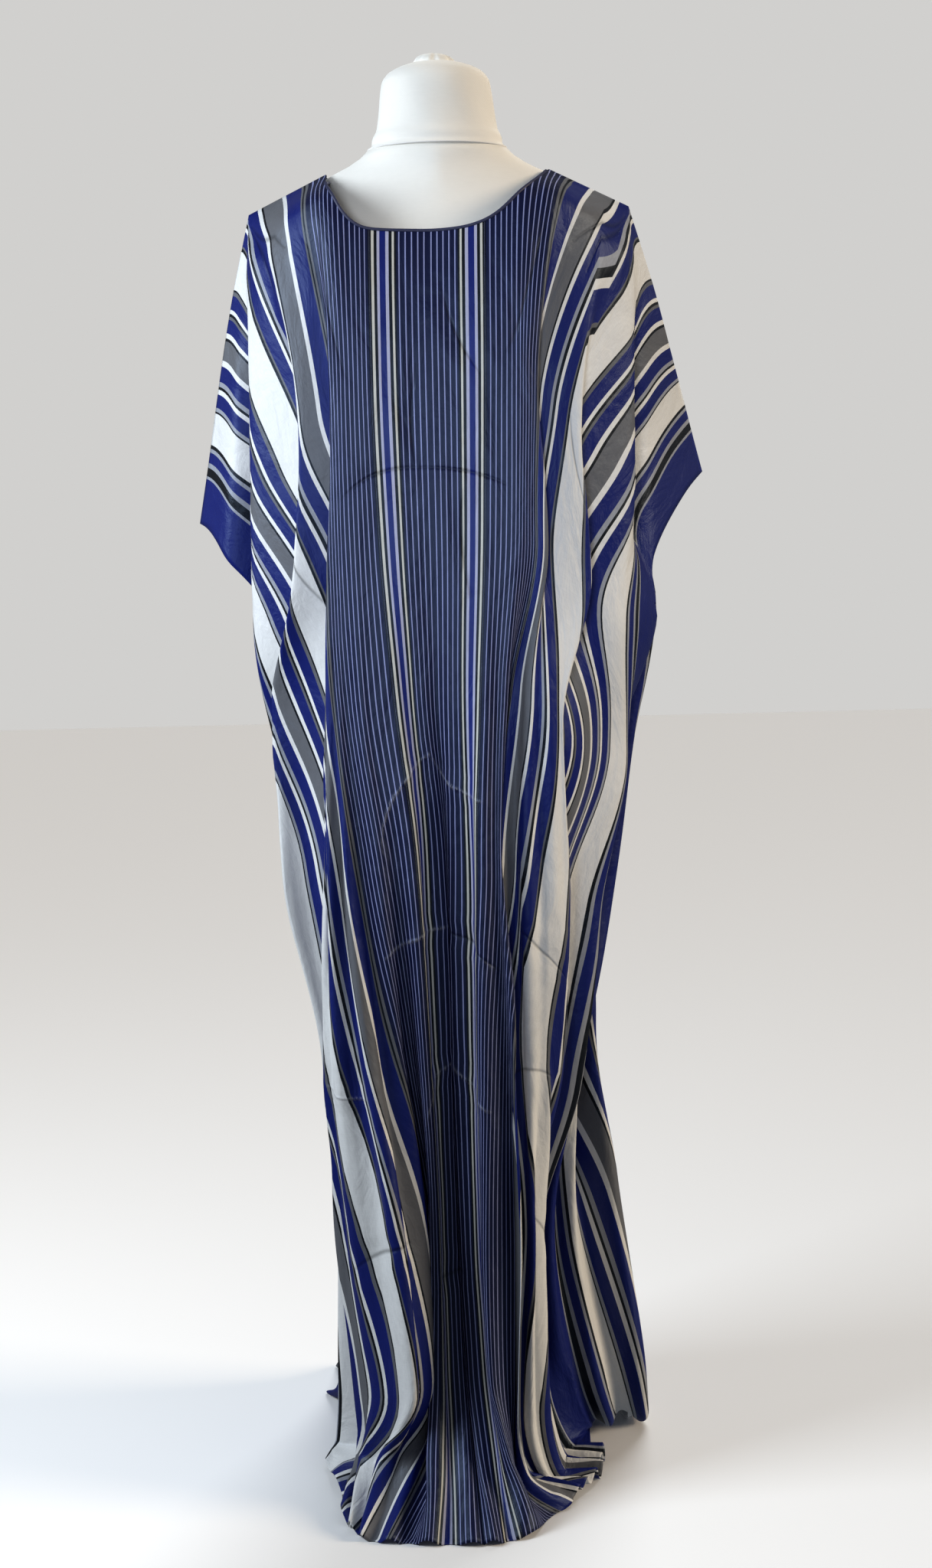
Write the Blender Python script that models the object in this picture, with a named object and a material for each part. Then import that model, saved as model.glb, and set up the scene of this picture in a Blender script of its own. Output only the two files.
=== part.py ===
"""A baati dress on a limbless dress form. Metres, +Z up; the dress faces -Y and the floor is Z = 0.

The dress is one wide loom width of striped cloth, folded over the shoulders: the sleeves are cut in
one with the body, and the selvages are the cuffs and, below the armholes, the side seams. Beyond
each shoulder tip the cloth hangs in folds that spread from the tip, so a point of the cloth is found
from its drop below the shoulder line and its place along the ring of cloth at that drop.
"""

import math
from collections import namedtuple

import bmesh
import bpy
import numpy as np

CM = 0.01

# Cut of the cloth
SHOULDER_TIP = 0.205        # from the centre line to the shoulder tip, along the cloth
CUFF_REACH = 0.342          # from the shoulder tip out to the selvage
SLEEVE_DEPTH = 0.302        # from the shoulder line down to the start of the side seam
DRESS_LENGTH = 1.56         # from the shoulder line to the hem
NECK_CORNER = 0.118         # from the centre line to the end of the neck opening
NECK_DROP_FRONT = 0.150
NECK_DROP_BACK = 0.058
NECK_SCOOP = {-1: (6.0, 0.5), 1: (3.4, 0.55)}   # squareness and steepness of the scoop, left and right
CLOTH = 0.0013              # wall
SEAM_GAP = 0.0003
SEAM_MITRE = 1.2            # half the wall along a seam, in half walls
FOLD_MITRE = 1.8            # the most that a folded wall reaches out along its crease, in half walls
BINDING_RADIUS = 0.0018
BINDING_OFF = 0.0004

# Where the cloth hangs from
NECK_CORNER_Z = 1.440
SHOULDER_TIP_Z = 1.398
NAPE_RISE = 0.25            # how much higher the cloth starts for each metre behind the shoulder line
UNDERARM_DROP = math.hypot(CUFF_REACH, SLEEVE_DEPTH)
UNDERARM_ANGLE = math.atan2(CUFF_REACH, SLEEVE_DEPTH)

# Grid of a panel
ROWS_TO_CUFF = 9
ROWS_BELOW = 17
COLUMNS_PER_FOLD = 3
FOLD_SOFTNESS = 0.3         # 0 for facets that meet at a crease, 1 for a fully rounded ring

# Drops below the shoulder line at which the fold lines are placed, in cm
STATIONS = (0, 10, 30, 46, 62, 80, 100, 120, 134, 144, 156)

# A fold line: the cloth's own distance from the centre line, then its place across and in depth at
# each station, and its height at the last three, where it meets the floor. All in cm.
Fold = namedtuple("Fold", "name flat across depth height")

FRONT_CENTRE = Fold(
    "centre",
    (0, 0, 0, 0, 0, 0, 0, 0, 0, 0, 0),
    (0, -1.0, -1.3, -1.3, -1.4, -0.7, -0.7, -0.5, 0, 0.8, 1.6),
    (0, -9.4, -13.6, -13.9, -13.2, -11.2, -10.8, -11.0, -12.6, -17.0, -25.2),
    (14.5, 6.0, 0.2),
)

FRONT_LEFT = (
    Fold("left panel crest",
         (5.5, 5.5, 5.5, 5.5, 5.5, 5.5, 5.5, 5.5, 5.5, 5.5, 5.5),
         (-5.5, -6.6, -6.8, -6.4, -5.3, -3.6, -2.9, -2.5, -2.4, -2.6, -3.2),
         (0, -9.9, -13.8, -14.1, -14.3, -14.4, -13.8, -13.4, -14.6, -18.6, -25.0),
         (14.5, 6.0, 0.2)),
    Fold("knee valley",
         (8.2, 8.0, 8.0, 8.2, 8.6, 9.6, 12.0, 14.5, 16.0, 15.0, 13.0),
         (-8.2, -8.8, -8.8, -8.8, -8.6, -7.0, -5.9, -4.2, -3.6, -5.0, -7.6),
         (0, -10.3, -13.9, -14.2, -14.4, -14.7, -13.4, -12.6, -12.4, -14.6, -24.4),
         (14.0, 5.0, 0.2)),
    Fold("knee crest",
         (10.8, 10.2, 10.2, 10.8, 12.2, 15.0, 17.5, 21.5, 24.4, 21.0, 18.5),
         (-10.8, -10.9, -10.4, -10.8, -11.2, -10.8, -8.8, -6.2, -5.0, -8.2, -11.0),
         (0, -10.5, -13.8, -14.1, -14.3, -14.7, -15.4, -17.4, -19.0, -16.2, -23.6),
         (14.0, 6.0, 0.2)),
    Fold("panel edge",
         (11.8, 12.2, 12.6, 14.2, 17.0, 23.8, 28.2, 34.8, 38.5, 36.0, 30.0),
         (-11.8, -12.3, -11.7, -12.4, -13.3, -14.0, -14.8, -14.4, -13.0, -12.4, -13.4),
         (0, -10.3, -13.4, -13.6, -13.8, -13.6, -12.8, -10.8, -8.4, -8.6, -19.6),
         (10.5, 3.2, 1.0)),
    Fold("panel valley",
         (13.4, 13.9, 14.0, 18.5, 22.8, 31.5, 37.0, 40.0, 42.5, 42.0, 38.0),
         (-13.4, -13.6, -10.7, -9.8, -8.9, -9.5, -9.4, -9.8, -9.8, -10.2, -14.2),
         (0, -10.0, -12.1, -11.0, -10.2, -8.0, -7.2, -6.2, -4.8, -4.6, -12.0),
         (7.5, 2.4, 1.0)),
    Fold("inner pleat crest",
         (17.0, 18.5, 19.5, 27.5, 38.0, 45.8, 44.5, 45.0, 46.5, 46.5, 46.0),
         (-17.0, -17.3, -15.3, -16.6, -19.6, -19.0, -15.6, -14.4, -15.0, -15.4, -16.4),
         (0, -8.2, -11.7, -11.2, -6.0, -5.5, -4.4, -3.2, -2.2, -1.8, -4.6),
         (7.0, 2.0, 1.0)),
    Fold("inner pleat valley",
         (19.8, 20.5, 22.7, 32.5, 44.0, 48.5, 48.0, 48.5, 49.5, 49.5, 49.5),
         (-19.8, -18.7, -13.3, -12.9, -16.2, -16.6, -12.8, -11.6, -11.6, -11.8, -12.6),
         (0, -7.0, -9.5, -8.4, -4.0, -3.0, -2.0, -0.8, 0.6, 1.4, 1.4),
         (7.0, 2.0, 1.0)),
    Fold("outer pleat crest",
         (20.5, 24.1, 34.3, 46.9, 50.5, 51.5, 51.5, 51.7, 52.0, 52.0, 52.0),
         (-20.5, -20.5, -21.3, -21.5, -19.3, -17.8, -14.8, -13.6, -14.0, -14.4, -15.4),
         (0, -5.0, -4.8, -4.2, -1.4, -0.4, 1.0, 2.0, 3.4, 4.6, 6.0),
         (7.0, 2.0, 1.0)),
    Fold("seam",
         (20.5, 29.0, 45.9, 59.2, 56.7, 55.8, 55.4, 55.2, 55.1, 55.0, 55.0),
         (-20.5, -20.7, -17.4, -18.6, -17.2, -15.4, -12.2, -11.6, -12.0, -12.4, -13.4),
         (0, -2.4, 0.6, 1.4, 2.8, 3.4, 4.2, 5.0, 6.2, 7.8, 10.4),
         (7.0, 2.0, 1.0)),
)

FRONT_RIGHT = (
    Fold("right panel crest",
         (5.5, 5.5, 5.5, 5.5, 5.5, 5.5, 5.5, 5.5, 5.5, 5.5, 5.5),
         (5.5, 4.4, 4.0, 3.6, 2.9, 2.2, 1.9, 2.0, 2.6, 3.6, 5.2),
         (0, -9.9, -13.8, -14.1, -14.4, -14.6, -14.2, -14.2, -15.4, -19.0, -24.4),
         (14.5, 6.0, 0.2)),
    Fold("skirt fold crest",
         (9.5, 9.5, 9.5, 9.5, 9.5, 9.5, 14.0, 16.5, 17.0, 16.5, 15.5),
         (9.5, 8.2, 7.6, 7.2, 5.8, 5.1, 6.1, 6.4, 5.8, 6.4, 10.6),
         (0, -10.3, -13.9, -14.2, -14.4, -15.0, -15.4, -16.2, -17.0, -18.0, -17.0),
         (11.0, 5.0, 0.2)),
    Fold("skirt fold valley",
         (11.8, 11.9, 12.0, 13.5, 13.5, 13.2, 19.0, 19.0, 20.0, 19.5, 19.0),
         (11.8, 10.7, 8.9, 9.2, 6.3, 4.0, 4.0, 4.9, 4.6, 6.6, 11.8),
         (0, -10.3, -13.8, -13.9, -12.4, -12.4, -11.4, -13.0, -13.4, -13.8, -14.6),
         (10.0, 2.6, 1.0)),
    Fold("panel edge",
         (13.0, 13.8, 14.4, 19.0, 18.0, 21.0, 26.0, 23.0, 25.0, 24.5, 23.0),
         (12.9, 12.2, 10.0, 10.8, 8.0, 7.2, 7.4, 7.3, 6.4, 8.6, 12.8),
         (0, -10.2, -13.4, -13.6, -13.2, -12.9, -12.3, -14.0, -14.0, -13.6, -12.8),
         (9.0, 1.8, 1.2)),
    Fold("panel valley",
         (14.5, 15.5, 17.5, 22.0, 21.5, 25.0, 28.5, 25.0, 29.0, 29.0, 28.0),
         (14.3, 13.5, 9.3, 9.7, 10.0, 10.0, 9.4, 8.2, 8.3, 10.2, 13.8),
         (0, -9.9, -11.9, -11.8, -13.2, -12.0, -11.4, -13.2, -12.8, -12.0, -11.2),
         (9.0, 1.4, 1.0)),
    Fold("inner pleat crest",
         (18.0, 20.0, 27.0, 31.0, 25.5, 29.0, 31.5, 33.0, 36.0, 36.0, 35.0),
         (17.9, 17.2, 14.6, 15.6, 12.0, 12.5, 11.3, 7.2, 9.0, 10.8, 15.0),
         (0, -8.2, -11.2, -10.8, -12.5, -10.2, -9.8, -9.2, -8.6, -8.6, -9.0),
         (8.0, 1.4, 1.0)),
    Fold("inner pleat valley",
         (19.8, 21.2, 29.7, 36.5, 27.6, 35.5, 39.0, 40.0, 42.0, 42.0, 41.5),
         (19.8, 18.6, 12.9, 11.7, 11.0, 8.8, 8.2, 5.2, 7.0, 10.4, 14.8),
         (0, -7.2, -9.4, -8.2, -11.0, -6.4, -5.8, -5.8, -5.8, -6.4, -6.8),
         (7.5, 1.4, 1.0)),
    Fold("outer pleat crest",
         (20.5, 25.0, 40.2, 46.0, 45.5, 46.0, 48.0, 48.0, 49.0, 49.0, 49.0),
         (20.5, 20.5, 20.7, 18.8, 19.3, 14.6, 12.4, 7.8, 9.2, 12.2, 15.6),
         (0, -5.0, -4.8, -6.2, -0.8, -2.2, -2.8, -2.8, -3.6, -4.4, -4.6),
         (7.0, 1.2, 1.0)),
    Fold("seam",
         (20.5, 29.0, 45.9, 59.2, 56.7, 55.8, 55.4, 55.2, 55.1, 55.0, 55.0),
         (20.5, 21.0, 18.6, 23.2, 18.6, 16.8, 12.6, 7.2, 8.4, 11.0, 14.0),
         (0, -2.5, 0.4, 1.6, 4.2, 3.6, 0.6, -0.6, -1.6, -2.4, -2.4),
         (6.5, 1.0, 1.0)),
)

BACK_CENTRE = Fold(
    "centre",
    (0, 0, 0, 0, 0, 0, 0, 0, 0, 0, 0),
    (0, -0.6, -0.8, -0.8, -0.6, -0.4, -0.2, 0, 0, 0, 0),
    (6.0, 10.7, 12.4, 12.8, 13.4, 13.4, 13.8, 14.8, 16.8, 20.0, 27.0),
    (14.0, 5.5, 0.2),
)

BACK_LEFT = (
    Fold("spine valley",
         (6.5, 6.5, 7.5, 9.5, 11.5, 13.5, 15.0, 16.0, 16.5, 16.5, 16.5),
         (-6.5, -7.2, -6.8, -6.4, -6.4, -6.6, -6.8, -7.2, -7.6, -8.0, -8.6),
         (3.6, 9.7, 12.0, 11.8, 11.6, 11.0, 10.6, 11.2, 13.0, 16.6, 23.4),
         (13.5, 5.0, 0.2)),
    Fold("back pleat crest",
         (11.8, 12.4, 15.0, 20.0, 24.0, 28.0, 31.0, 33.0, 34.0, 34.0, 34.0),
         (-11.8, -12.5, -12.6, -13.0, -13.2, -12.8, -12.6, -13.0, -14.0, -15.2, -17.0),
         (0, 8.6, 12.4, 13.4, 14.4, 15.0, 15.6, 16.6, 18.6, 21.4, 26.0),
         (12.5, 4.5, 0.2)),
    Fold("back pleat valley",
         (17.0, 18.5, 21.0, 29.0, 34.5, 38.5, 40.5, 42.0, 43.0, 43.0, 43.0),
         (-17.0, -16.8, -13.4, -12.2, -11.6, -10.4, -9.4, -9.2, -9.6, -10.2, -11.4),
         (0, 6.6, 9.2, 8.8, 9.0, 9.0, 8.8, 9.6, 11.0, 13.4, 17.6),
         (10.5, 3.5, 0.2)),
    Fold("outer pleat crest",
         (20.5, 24.5, 34.0, 45.5, 48.5, 49.5, 49.5, 50.0, 50.5, 50.5, 50.5),
         (-20.5, -19.7, -17.4, -17.6, -17.8, -16.8, -14.6, -14.2, -15.0, -16.0, -17.6),
         (0, 5.8, 12.0, 9.8, 9.0, 8.8, 9.0, 9.4, 10.8, 13.2, 17.4),
         (8.0, 2.5, 0.2)),
    Fold("seam",
         (20.5, 29.0, 45.9, 59.2, 56.7, 55.8, 55.4, 55.2, 55.1, 55.0, 55.0),
         (-20.5, -21.2, -18.2, -18.6, -17.2, -15.4, -12.2, -11.6, -12.0, -12.4, -13.4),
         (0, 4.4, 6.6, 1.4, 2.8, 3.4, 4.2, 5.0, 6.2, 7.8, 10.4),
         (7.0, 2.0, 1.0)),
)

BACK_RIGHT = (
    Fold("spine valley",
         (6.5, 6.5, 7.5, 8.5, 9.5, 11.0, 12.5, 14.0, 15.0, 15.0, 15.0),
         (6.5, 7.0, 6.6, 6.4, 6.4, 6.6, 6.8, 7.0, 7.4, 7.8, 8.4),
         (3.6, 9.7, 12.0, 11.8, 11.6, 11.0, 10.6, 11.2, 13.0, 16.6, 23.4),
         (13.5, 5.0, 0.2)),
    Fold("wing crest",
         (11.8, 12.6, 15.4, 19.0, 21.0, 23.5, 26.5, 33.0, 37.0, 38.5, 40.0),
         (11.8, 12.4, 13.4, 14.6, 15.0, 14.8, 14.0, 17.6, 20.4, 20.8, 19.0),
         (0, 8.5, 12.6, 12.4, 12.0, 11.0, 8.0, 6.4, 3.4, 6.2, 15.0),
         (8.5, 1.4, 0.8)),
    Fold("wing valley",
         (17.5, 18.5, 22.5, 30.0, 35.5, 39.0, 40.0, 43.5, 46.0, 46.5, 47.0),
         (17.5, 17.2, 13.8, 12.6, 12.4, 12.0, 12.4, 13.2, 16.0, 17.2, 15.8),
         (0, 6.6, 9.2, 9.0, 8.6, 7.4, 4.6, 2.8, 1.0, 4.0, 11.6),
         (7.5, 1.4, 0.8)),
    Fold("outer pleat crest",
         (20.5, 24.5, 34.0, 45.5, 48.5, 49.5, 49.0, 50.0, 51.0, 51.0, 51.2),
         (20.5, 19.8, 18.8, 20.6, 19.4, 17.4, 13.4, 10.4, 12.4, 14.4, 14.4),
         (0, 5.8, 11.4, 9.0, 8.6, 7.4, 2.6, 1.0, -0.2, 2.0, 6.8),
         (7.0, 1.3, 0.6)),
    Fold("seam",
         (20.5, 29.0, 45.9, 59.2, 56.7, 55.8, 55.4, 55.2, 55.1, 55.0, 55.0),
         (20.5, 21.3, 19.2, 23.2, 18.6, 16.8, 12.6, 7.2, 8.4, 11.0, 14.0),
         (0, 4.4, 6.6, 1.6, 4.2, 3.6, 0.6, -0.6, -1.6, -2.4, -2.4),
         (6.5, 1.0, 1.0)),
)

# A fold of a half sleeve: its direction from the shoulder tip, as an angle from straight down in the
# flat cloth, then its place across and in depth at the first stations, in cm. The side is its sign.
SLEEVE_STATIONS = STATIONS[:4]
SleeveFold = namedtuple("SleeveFold", "name angle across depth")

TOP_LEFT = SleeveFold("top", 90, (20.5, 22.9, 26.8, 29.9), (0, 1.0, 4.6, 6.8))
TOP_RIGHT = SleeveFold("top", 90, (20.5, 23.5, 28.6, 33.0), (0, 1.5, 13.0, 18.0))
SLEEVES = {
    "front_left": (SleeveFold("front", 66, (20.5, 21.7, 23.3, 25.2), (0, -0.9, -1.2, -1.0)), TOP_LEFT),
    "back_left": (SleeveFold("back", 66, (20.5, 22.2, 24.0, 25.8), (0, 2.8, 10.4, 14.0)), TOP_LEFT),
    "front_right": (SleeveFold("front", 66, (20.5, 21.8, 22.6, 24.2), (0, -1.2, 2.4, 2.2)), TOP_RIGHT),
    "back_right": (SleeveFold("back", 66, (20.5, 22.0, 22.8, 22.8), (0, 3.4, 14.4, 15.0)), TOP_RIGHT),
}

# Level sections of the torso, the last value being the roundness of its plan: 2 is an ellipse, and
# less is a lens that is sharper at its two sides
TorsoSection = namedtuple("TorsoSection", "height half_width front back roundness", defaults=(2.0,))

TORSO = (
    TorsoSection(0.760, 0.140, 0.098, 0.098),
    TorsoSection(0.850, 0.150, 0.100, 0.104),
    TorsoSection(0.940, 0.134, 0.092, 0.094),
    TorsoSection(1.020, 0.120, 0.086, 0.086),
    TorsoSection(1.120, 0.132, 0.104, 0.092),
    TorsoSection(1.210, 0.146, 0.121, 0.098),
    TorsoSection(1.290, 0.158, 0.112, 0.100),
    TorsoSection(1.350, 0.176, 0.094, 0.098, 1.9),
    TorsoSection(1.378, 0.178, 0.079, 0.086, 1.7),
    TorsoSection(1.4058, 0.160, 0.070, 0.075, 1.5),
    TorsoSection(1.4278, 0.130, 0.064, 0.068, 1.4),
    TorsoSection(1.4399, 0.110, 0.061, 0.066, 1.4),
    TorsoSection(1.4507, 0.088, 0.060, 0.064, 1.6),
    TorsoSection(1.462, 0.075, 0.058, 0.062, 2.0),
)
TORSO_SIDES = 36

NECK_BOTTOM_Z = TORSO[-1].height + SEAM_GAP

# Level sections of the neck block, from its base up: it flares at the base and is domed on top
NECK = (
    TorsoSection(NECK_BOTTOM_Z, 0.0745, 0.060, 0.062),
    TorsoSection(1.470, 0.0700, 0.058, 0.059),
    TorsoSection(1.482, 0.0655, 0.055, 0.056),
    TorsoSection(1.500, 0.0625, 0.053, 0.054),
    TorsoSection(1.520, 0.0600, 0.052, 0.053),
    TorsoSection(1.532, 0.0580, 0.050, 0.051),
    TorsoSection(1.541, 0.0520, 0.045, 0.046),
    TorsoSection(1.547, 0.0420, 0.037, 0.037),
    TorsoSection(1.551, 0.0300, 0.028, 0.028),
)

# Turned pieces: radius and height of each step of the outline, from the bottom up
CAP_BOTTOM_Z = NECK[-1].height + SEAM_GAP
CAP_PROFILE = ((0.0225, CAP_BOTTOM_Z), (0.0215, CAP_BOTTOM_Z + 0.003), (0.0185, CAP_BOTTOM_Z + 0.0065),
               (0.0130, CAP_BOTTOM_Z + 0.0095), (0.0060, CAP_BOTTOM_Z + 0.0110))
BASE_TOP_Z = 0.016
BASE_PROFILE = ((0.092, 0.0), (0.094, 0.003), (0.094, 0.012), (0.090, 0.0155), (0.060, BASE_TOP_Z))
POLE_BOTTOM_Z = BASE_TOP_Z + SEAM_GAP
POLE_TOP_Z = TORSO[0].height - SEAM_GAP
POLE_PROFILE = ((0.030, POLE_BOTTOM_Z), (0.030, POLE_BOTTOM_Z + 0.006), (0.0145, POLE_BOTTOM_Z + 0.012),
                (0.0135, 0.20), (0.0135, POLE_TOP_Z - 0.020), (0.022, POLE_TOP_Z - 0.012),
                (0.022, POLE_TOP_Z))


def material(name, colour, roughness, metallic=0.0):
    """A plain Principled BSDF."""
    made = bpy.data.materials.new(name)
    made.use_nodes = True
    shader = made.node_tree.nodes["Principled BSDF"]
    shader.inputs["Base Color"].default_value = (*colour, 1.0)
    shader.inputs["Roughness"].default_value = roughness
    shader.inputs["Metallic"].default_value = metallic
    return made


def add_object(name, points, faces, finish):
    """An object from points and faces, with its faces pointing out."""
    mesh = bpy.data.meshes.new(name)
    mesh.from_pydata([tuple(point) for point in points], [], faces)
    shape = bmesh.new()
    shape.from_mesh(mesh)
    bmesh.ops.triangulate(shape, faces=shape.faces)
    bmesh.ops.recalc_face_normals(shape, faces=shape.faces)
    shape.to_mesh(mesh)
    shape.free()
    mesh.materials.append(finish)
    mesh.shade_smooth()
    made = bpy.data.objects.new(name, mesh)
    bpy.context.scene.collection.objects.link(made)
    return made


def smooth_line(stations, values, at):
    """A curve through the stations that never overshoots them (Fritsch and Carlson)."""
    stations = np.asarray(stations, float)
    values = np.asarray(values, float)
    steps = np.diff(stations)
    slopes = np.diff(values) / steps
    tangents = np.zeros(len(values))
    tangents[0] = slopes[0]
    tangents[-1] = slopes[-1]
    for i in range(1, len(values) - 1):
        if slopes[i - 1] * slopes[i] > 0:
            before = 2 * steps[i] + steps[i - 1]
            after = steps[i] + 2 * steps[i - 1]
            tangents[i] = (before + after) / (before / slopes[i - 1] + after / slopes[i])
    at = np.clip(np.asarray(at, float), stations[0], stations[-1])
    k = np.clip(np.searchsorted(stations, at, side="right") - 1, 0, len(steps) - 1)
    t = (at - stations[k]) / steps[k]
    start = (1 + 2 * t) * (1 - t) ** 2 * values[k] + t * (1 - t) ** 2 * steps[k] * tangents[k]
    end = t * t * (3 - 2 * t) * values[k + 1] + t * t * (t - 1) * steps[k] * tangents[k + 1]
    return start + end


def shoulder_height(flat):
    """Height of the shoulder line over a place along it."""
    share = np.clip((flat - NECK_CORNER) / (SHOULDER_TIP - NECK_CORNER), 0, 1)
    return NECK_CORNER_Z + (SHOULDER_TIP_Z - NECK_CORNER_Z) * share


class FoldLine:
    """One fold line down the dress: flat place, across, depth and height at any drop."""

    HUNG = len(STATIONS) - 3

    def __init__(self, fold):
        self.drops = np.array(STATIONS) * CM
        self.flat = np.array(fold.flat) * CM
        self.across = np.array(fold.across) * CM
        self.depth = np.array(fold.depth) * CM
        hung = self.hung_heights()
        self.height = np.concatenate([hung, np.array(fold.height) * CM])

    def hung_heights(self):
        """Heights of the hung stations, from the length of cloth that runs along the fold line."""
        fine = np.linspace(0, self.drops[self.HUNG - 1], 241)
        across = smooth_line(self.drops, self.across, fine)
        depth = smooth_line(self.drops, self.depth, fine)
        run = np.diff(fine)
        sideways = np.hypot(np.diff(across), np.diff(depth))
        fall = np.sqrt(np.maximum(run ** 2 - sideways ** 2, (0.25 * run) ** 2))
        start = shoulder_height(self.flat[0]) + NAPE_RISE * self.depth[0]
        height = start - np.concatenate([[0], np.cumsum(fall)])
        return np.interp(self.drops[:self.HUNG], fine, height)

    def at(self, drop):
        """Flat place, across, depth and height at a drop."""
        parts = (self.flat, self.across, self.depth, self.height)
        return [float(smooth_line(self.drops, part, drop)) for part in parts]


def sleeve_point(fold, side, drop):
    """A sleeve fold's flat place and position, straight out from the shoulder tip."""
    drops = np.array(SLEEVE_STATIONS) * CM
    fine = np.linspace(0, drop, 41)
    across = smooth_line(drops, np.array(fold.across) * CM, fine)
    depth = smooth_line(drops, np.array(fold.depth) * CM, fine)
    run = fine[1]
    sideways = np.hypot(np.diff(across), np.diff(depth))
    fall = np.sqrt(np.maximum(run ** 2 - sideways ** 2, (0.25 * run) ** 2)).sum()
    flat = SHOULDER_TIP + drop * math.radians(fold.angle)
    return [flat, side * across[-1], depth[-1], SHOULDER_TIP_Z - fall]


def ring_curve(knots, per_fold):
    """Points along one ring of cloth: nearly flat facets between the folds, eased at each fold."""
    knots = np.array(knots)
    ahead = 2 * knots[0] - knots[1]
    beyond = 2 * knots[-1] - knots[-2]
    padded = np.vstack([ahead, knots, beyond])
    points = []
    for i in range(1, len(padded) - 2):
        a, b, c, d = padded[i - 1:i + 3]
        for step in range(per_fold):
            t = step / per_fold
            facet = b + (c - b) * t
            eased = 0.5 * (2 * b + (c - a) * t + (2 * a - 5 * b + 4 * c - d) * t ** 2
                           + (3 * b - a - 3 * c + d) * t ** 3)
            point = facet + (eased - facet) * FOLD_SOFTNESS
            # The flat place is never eased, so the cloth doesn't run backwards along itself.
            point[0] = facet[0]
            points.append(point)
    points.append(knots[-1])
    return np.array(points)


def neck_drop(flat, side, deepest):
    """How far below the shoulder line the neck opening is cut: a scoop with a broad floor."""
    share = min(abs(flat) / NECK_CORNER, 1.0)
    squareness, steepness = NECK_SCOOP[side]
    return deepest * (1 - share ** squareness) ** steepness


def row_drops():
    """Drops of the grid's rows, finer at the shoulders and where the cloth meets the floor."""
    upper = UNDERARM_DROP * (np.arange(ROWS_TO_CUFF + 1) / ROWS_TO_CUFF) ** 1.15
    share = np.arange(1, ROWS_BELOW + 1) / ROWS_BELOW
    lower = UNDERARM_DROP + (DRESS_LENGTH - UNDERARM_DROP) * (1.25 * share - 0.25 * share ** 2)
    return np.concatenate([upper, lower])


def half_body(folds, centre, side, row_drop, deepest, per_fold):
    """One half row of a panel, from the centre line out to the seam."""
    lines = [centre, *folds]
    count = (len(lines) - 1) * per_fold + 1
    row = np.zeros((count, 4))
    for column in range(count):
        # A column that starts at the neck opening runs from its edge down to the full ring.
        index = column // per_fold
        start_flat = lines[index].flat[0]
        if index + 1 < len(lines):
            start_flat += (lines[index + 1].flat[0] - start_flat) * (column % per_fold) / per_fold
        cut = neck_drop(start_flat, side, deepest)
        full = 0.30
        drop = cut + row_drop * (1 - cut / full) if row_drop < full else row_drop
        first = max(index - 1, 0)
        knots = [line.at(drop) for line in lines[first:index + 3]]
        ring = ring_curve(knots, per_fold)
        row[column] = ring[column - first * per_fold]
        if row_drop == 0 and start_flat >= NECK_CORNER - 1e-6:
            start_flat = min(start_flat, SHOULDER_TIP)
            row[column] = (start_flat, side * start_flat, 0, shoulder_height(start_flat))
    return row


def panel_grid(left, right, centre, sleeves, deepest, per_fold):
    """Rows of cloth points of a panel, from the left sleeve's top to the right one's.

    Each point is (flat, across, depth, height). Sleeve columns stop at the cuff.
    """
    sides = ((-1, [FoldLine(fold) for fold in left], sleeves[0]),
             (1, [FoldLine(fold) for fold in right], sleeves[1]))
    middle = FoldLine(centre)
    body_rows = []
    sleeve_rows = []
    for index, drop in enumerate(row_drops()):
        halves = []
        arms = []
        for side, lines, sleeve in sides:
            half = half_body(lines, middle, side, drop, deepest, per_fold)
            half[:, 0] *= side
            halves.append(half)
            if index <= ROWS_TO_CUFF:
                arms.append(sleeve_row(lines[-1], sleeve, side, drop, per_fold))
        body_rows.append(np.vstack([halves[0][::-1], halves[1][1:]]))
        if arms:
            sleeve_rows.append(arms)
    return body_rows, sleeve_rows


def sleeve_row(seam_line, sleeve, side, row_drop, per_fold):
    """One row of a half sleeve, from the underarm line up to the fold at its top."""
    share = row_drop / UNDERARM_DROP
    steps = per_fold * len(sleeve)
    if share == 0:
        return np.array([(side * SHOULDER_TIP, side * SHOULDER_TIP, 0, SHOULDER_TIP_Z)] * steps)
    points = []
    angles = [UNDERARM_ANGLE] + [math.radians(fold.angle) for fold in sleeve]
    for step in range(1, steps + 1):
        angle = float(np.interp(step / steps, np.linspace(0, 1, len(angles)), angles))
        drop = share * CUFF_REACH / math.sin(angle)
        knots = [seam_line.at(drop)] + [sleeve_point(fold, side, drop) for fold in sleeve]
        ring = ring_curve(knots, per_fold)
        point = ring[step]
        point[0] = side * (SHOULDER_TIP + drop * angle)
        points.append(point)
    return np.array(points)


def across_seam(front, back, along):
    """The level direction across a seam, from the front panel's cloth to the back panel's."""
    along = along / max(np.linalg.norm(along), 1e-9)
    direction = back - front
    direction = direction - along * (direction @ along)
    return direction / np.linalg.norm(direction)


def join_sides(front, back):
    """Brings the two panels' edges to one line down each side seam."""
    for row in range(ROWS_TO_CUFF, len(front[0])):
        for edge in (0, -1):
            middle = (front[0][row][edge] + back[0][row][edge]) / 2
            front[0][row][edge] = middle
            back[0][row][edge] = middle


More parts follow.
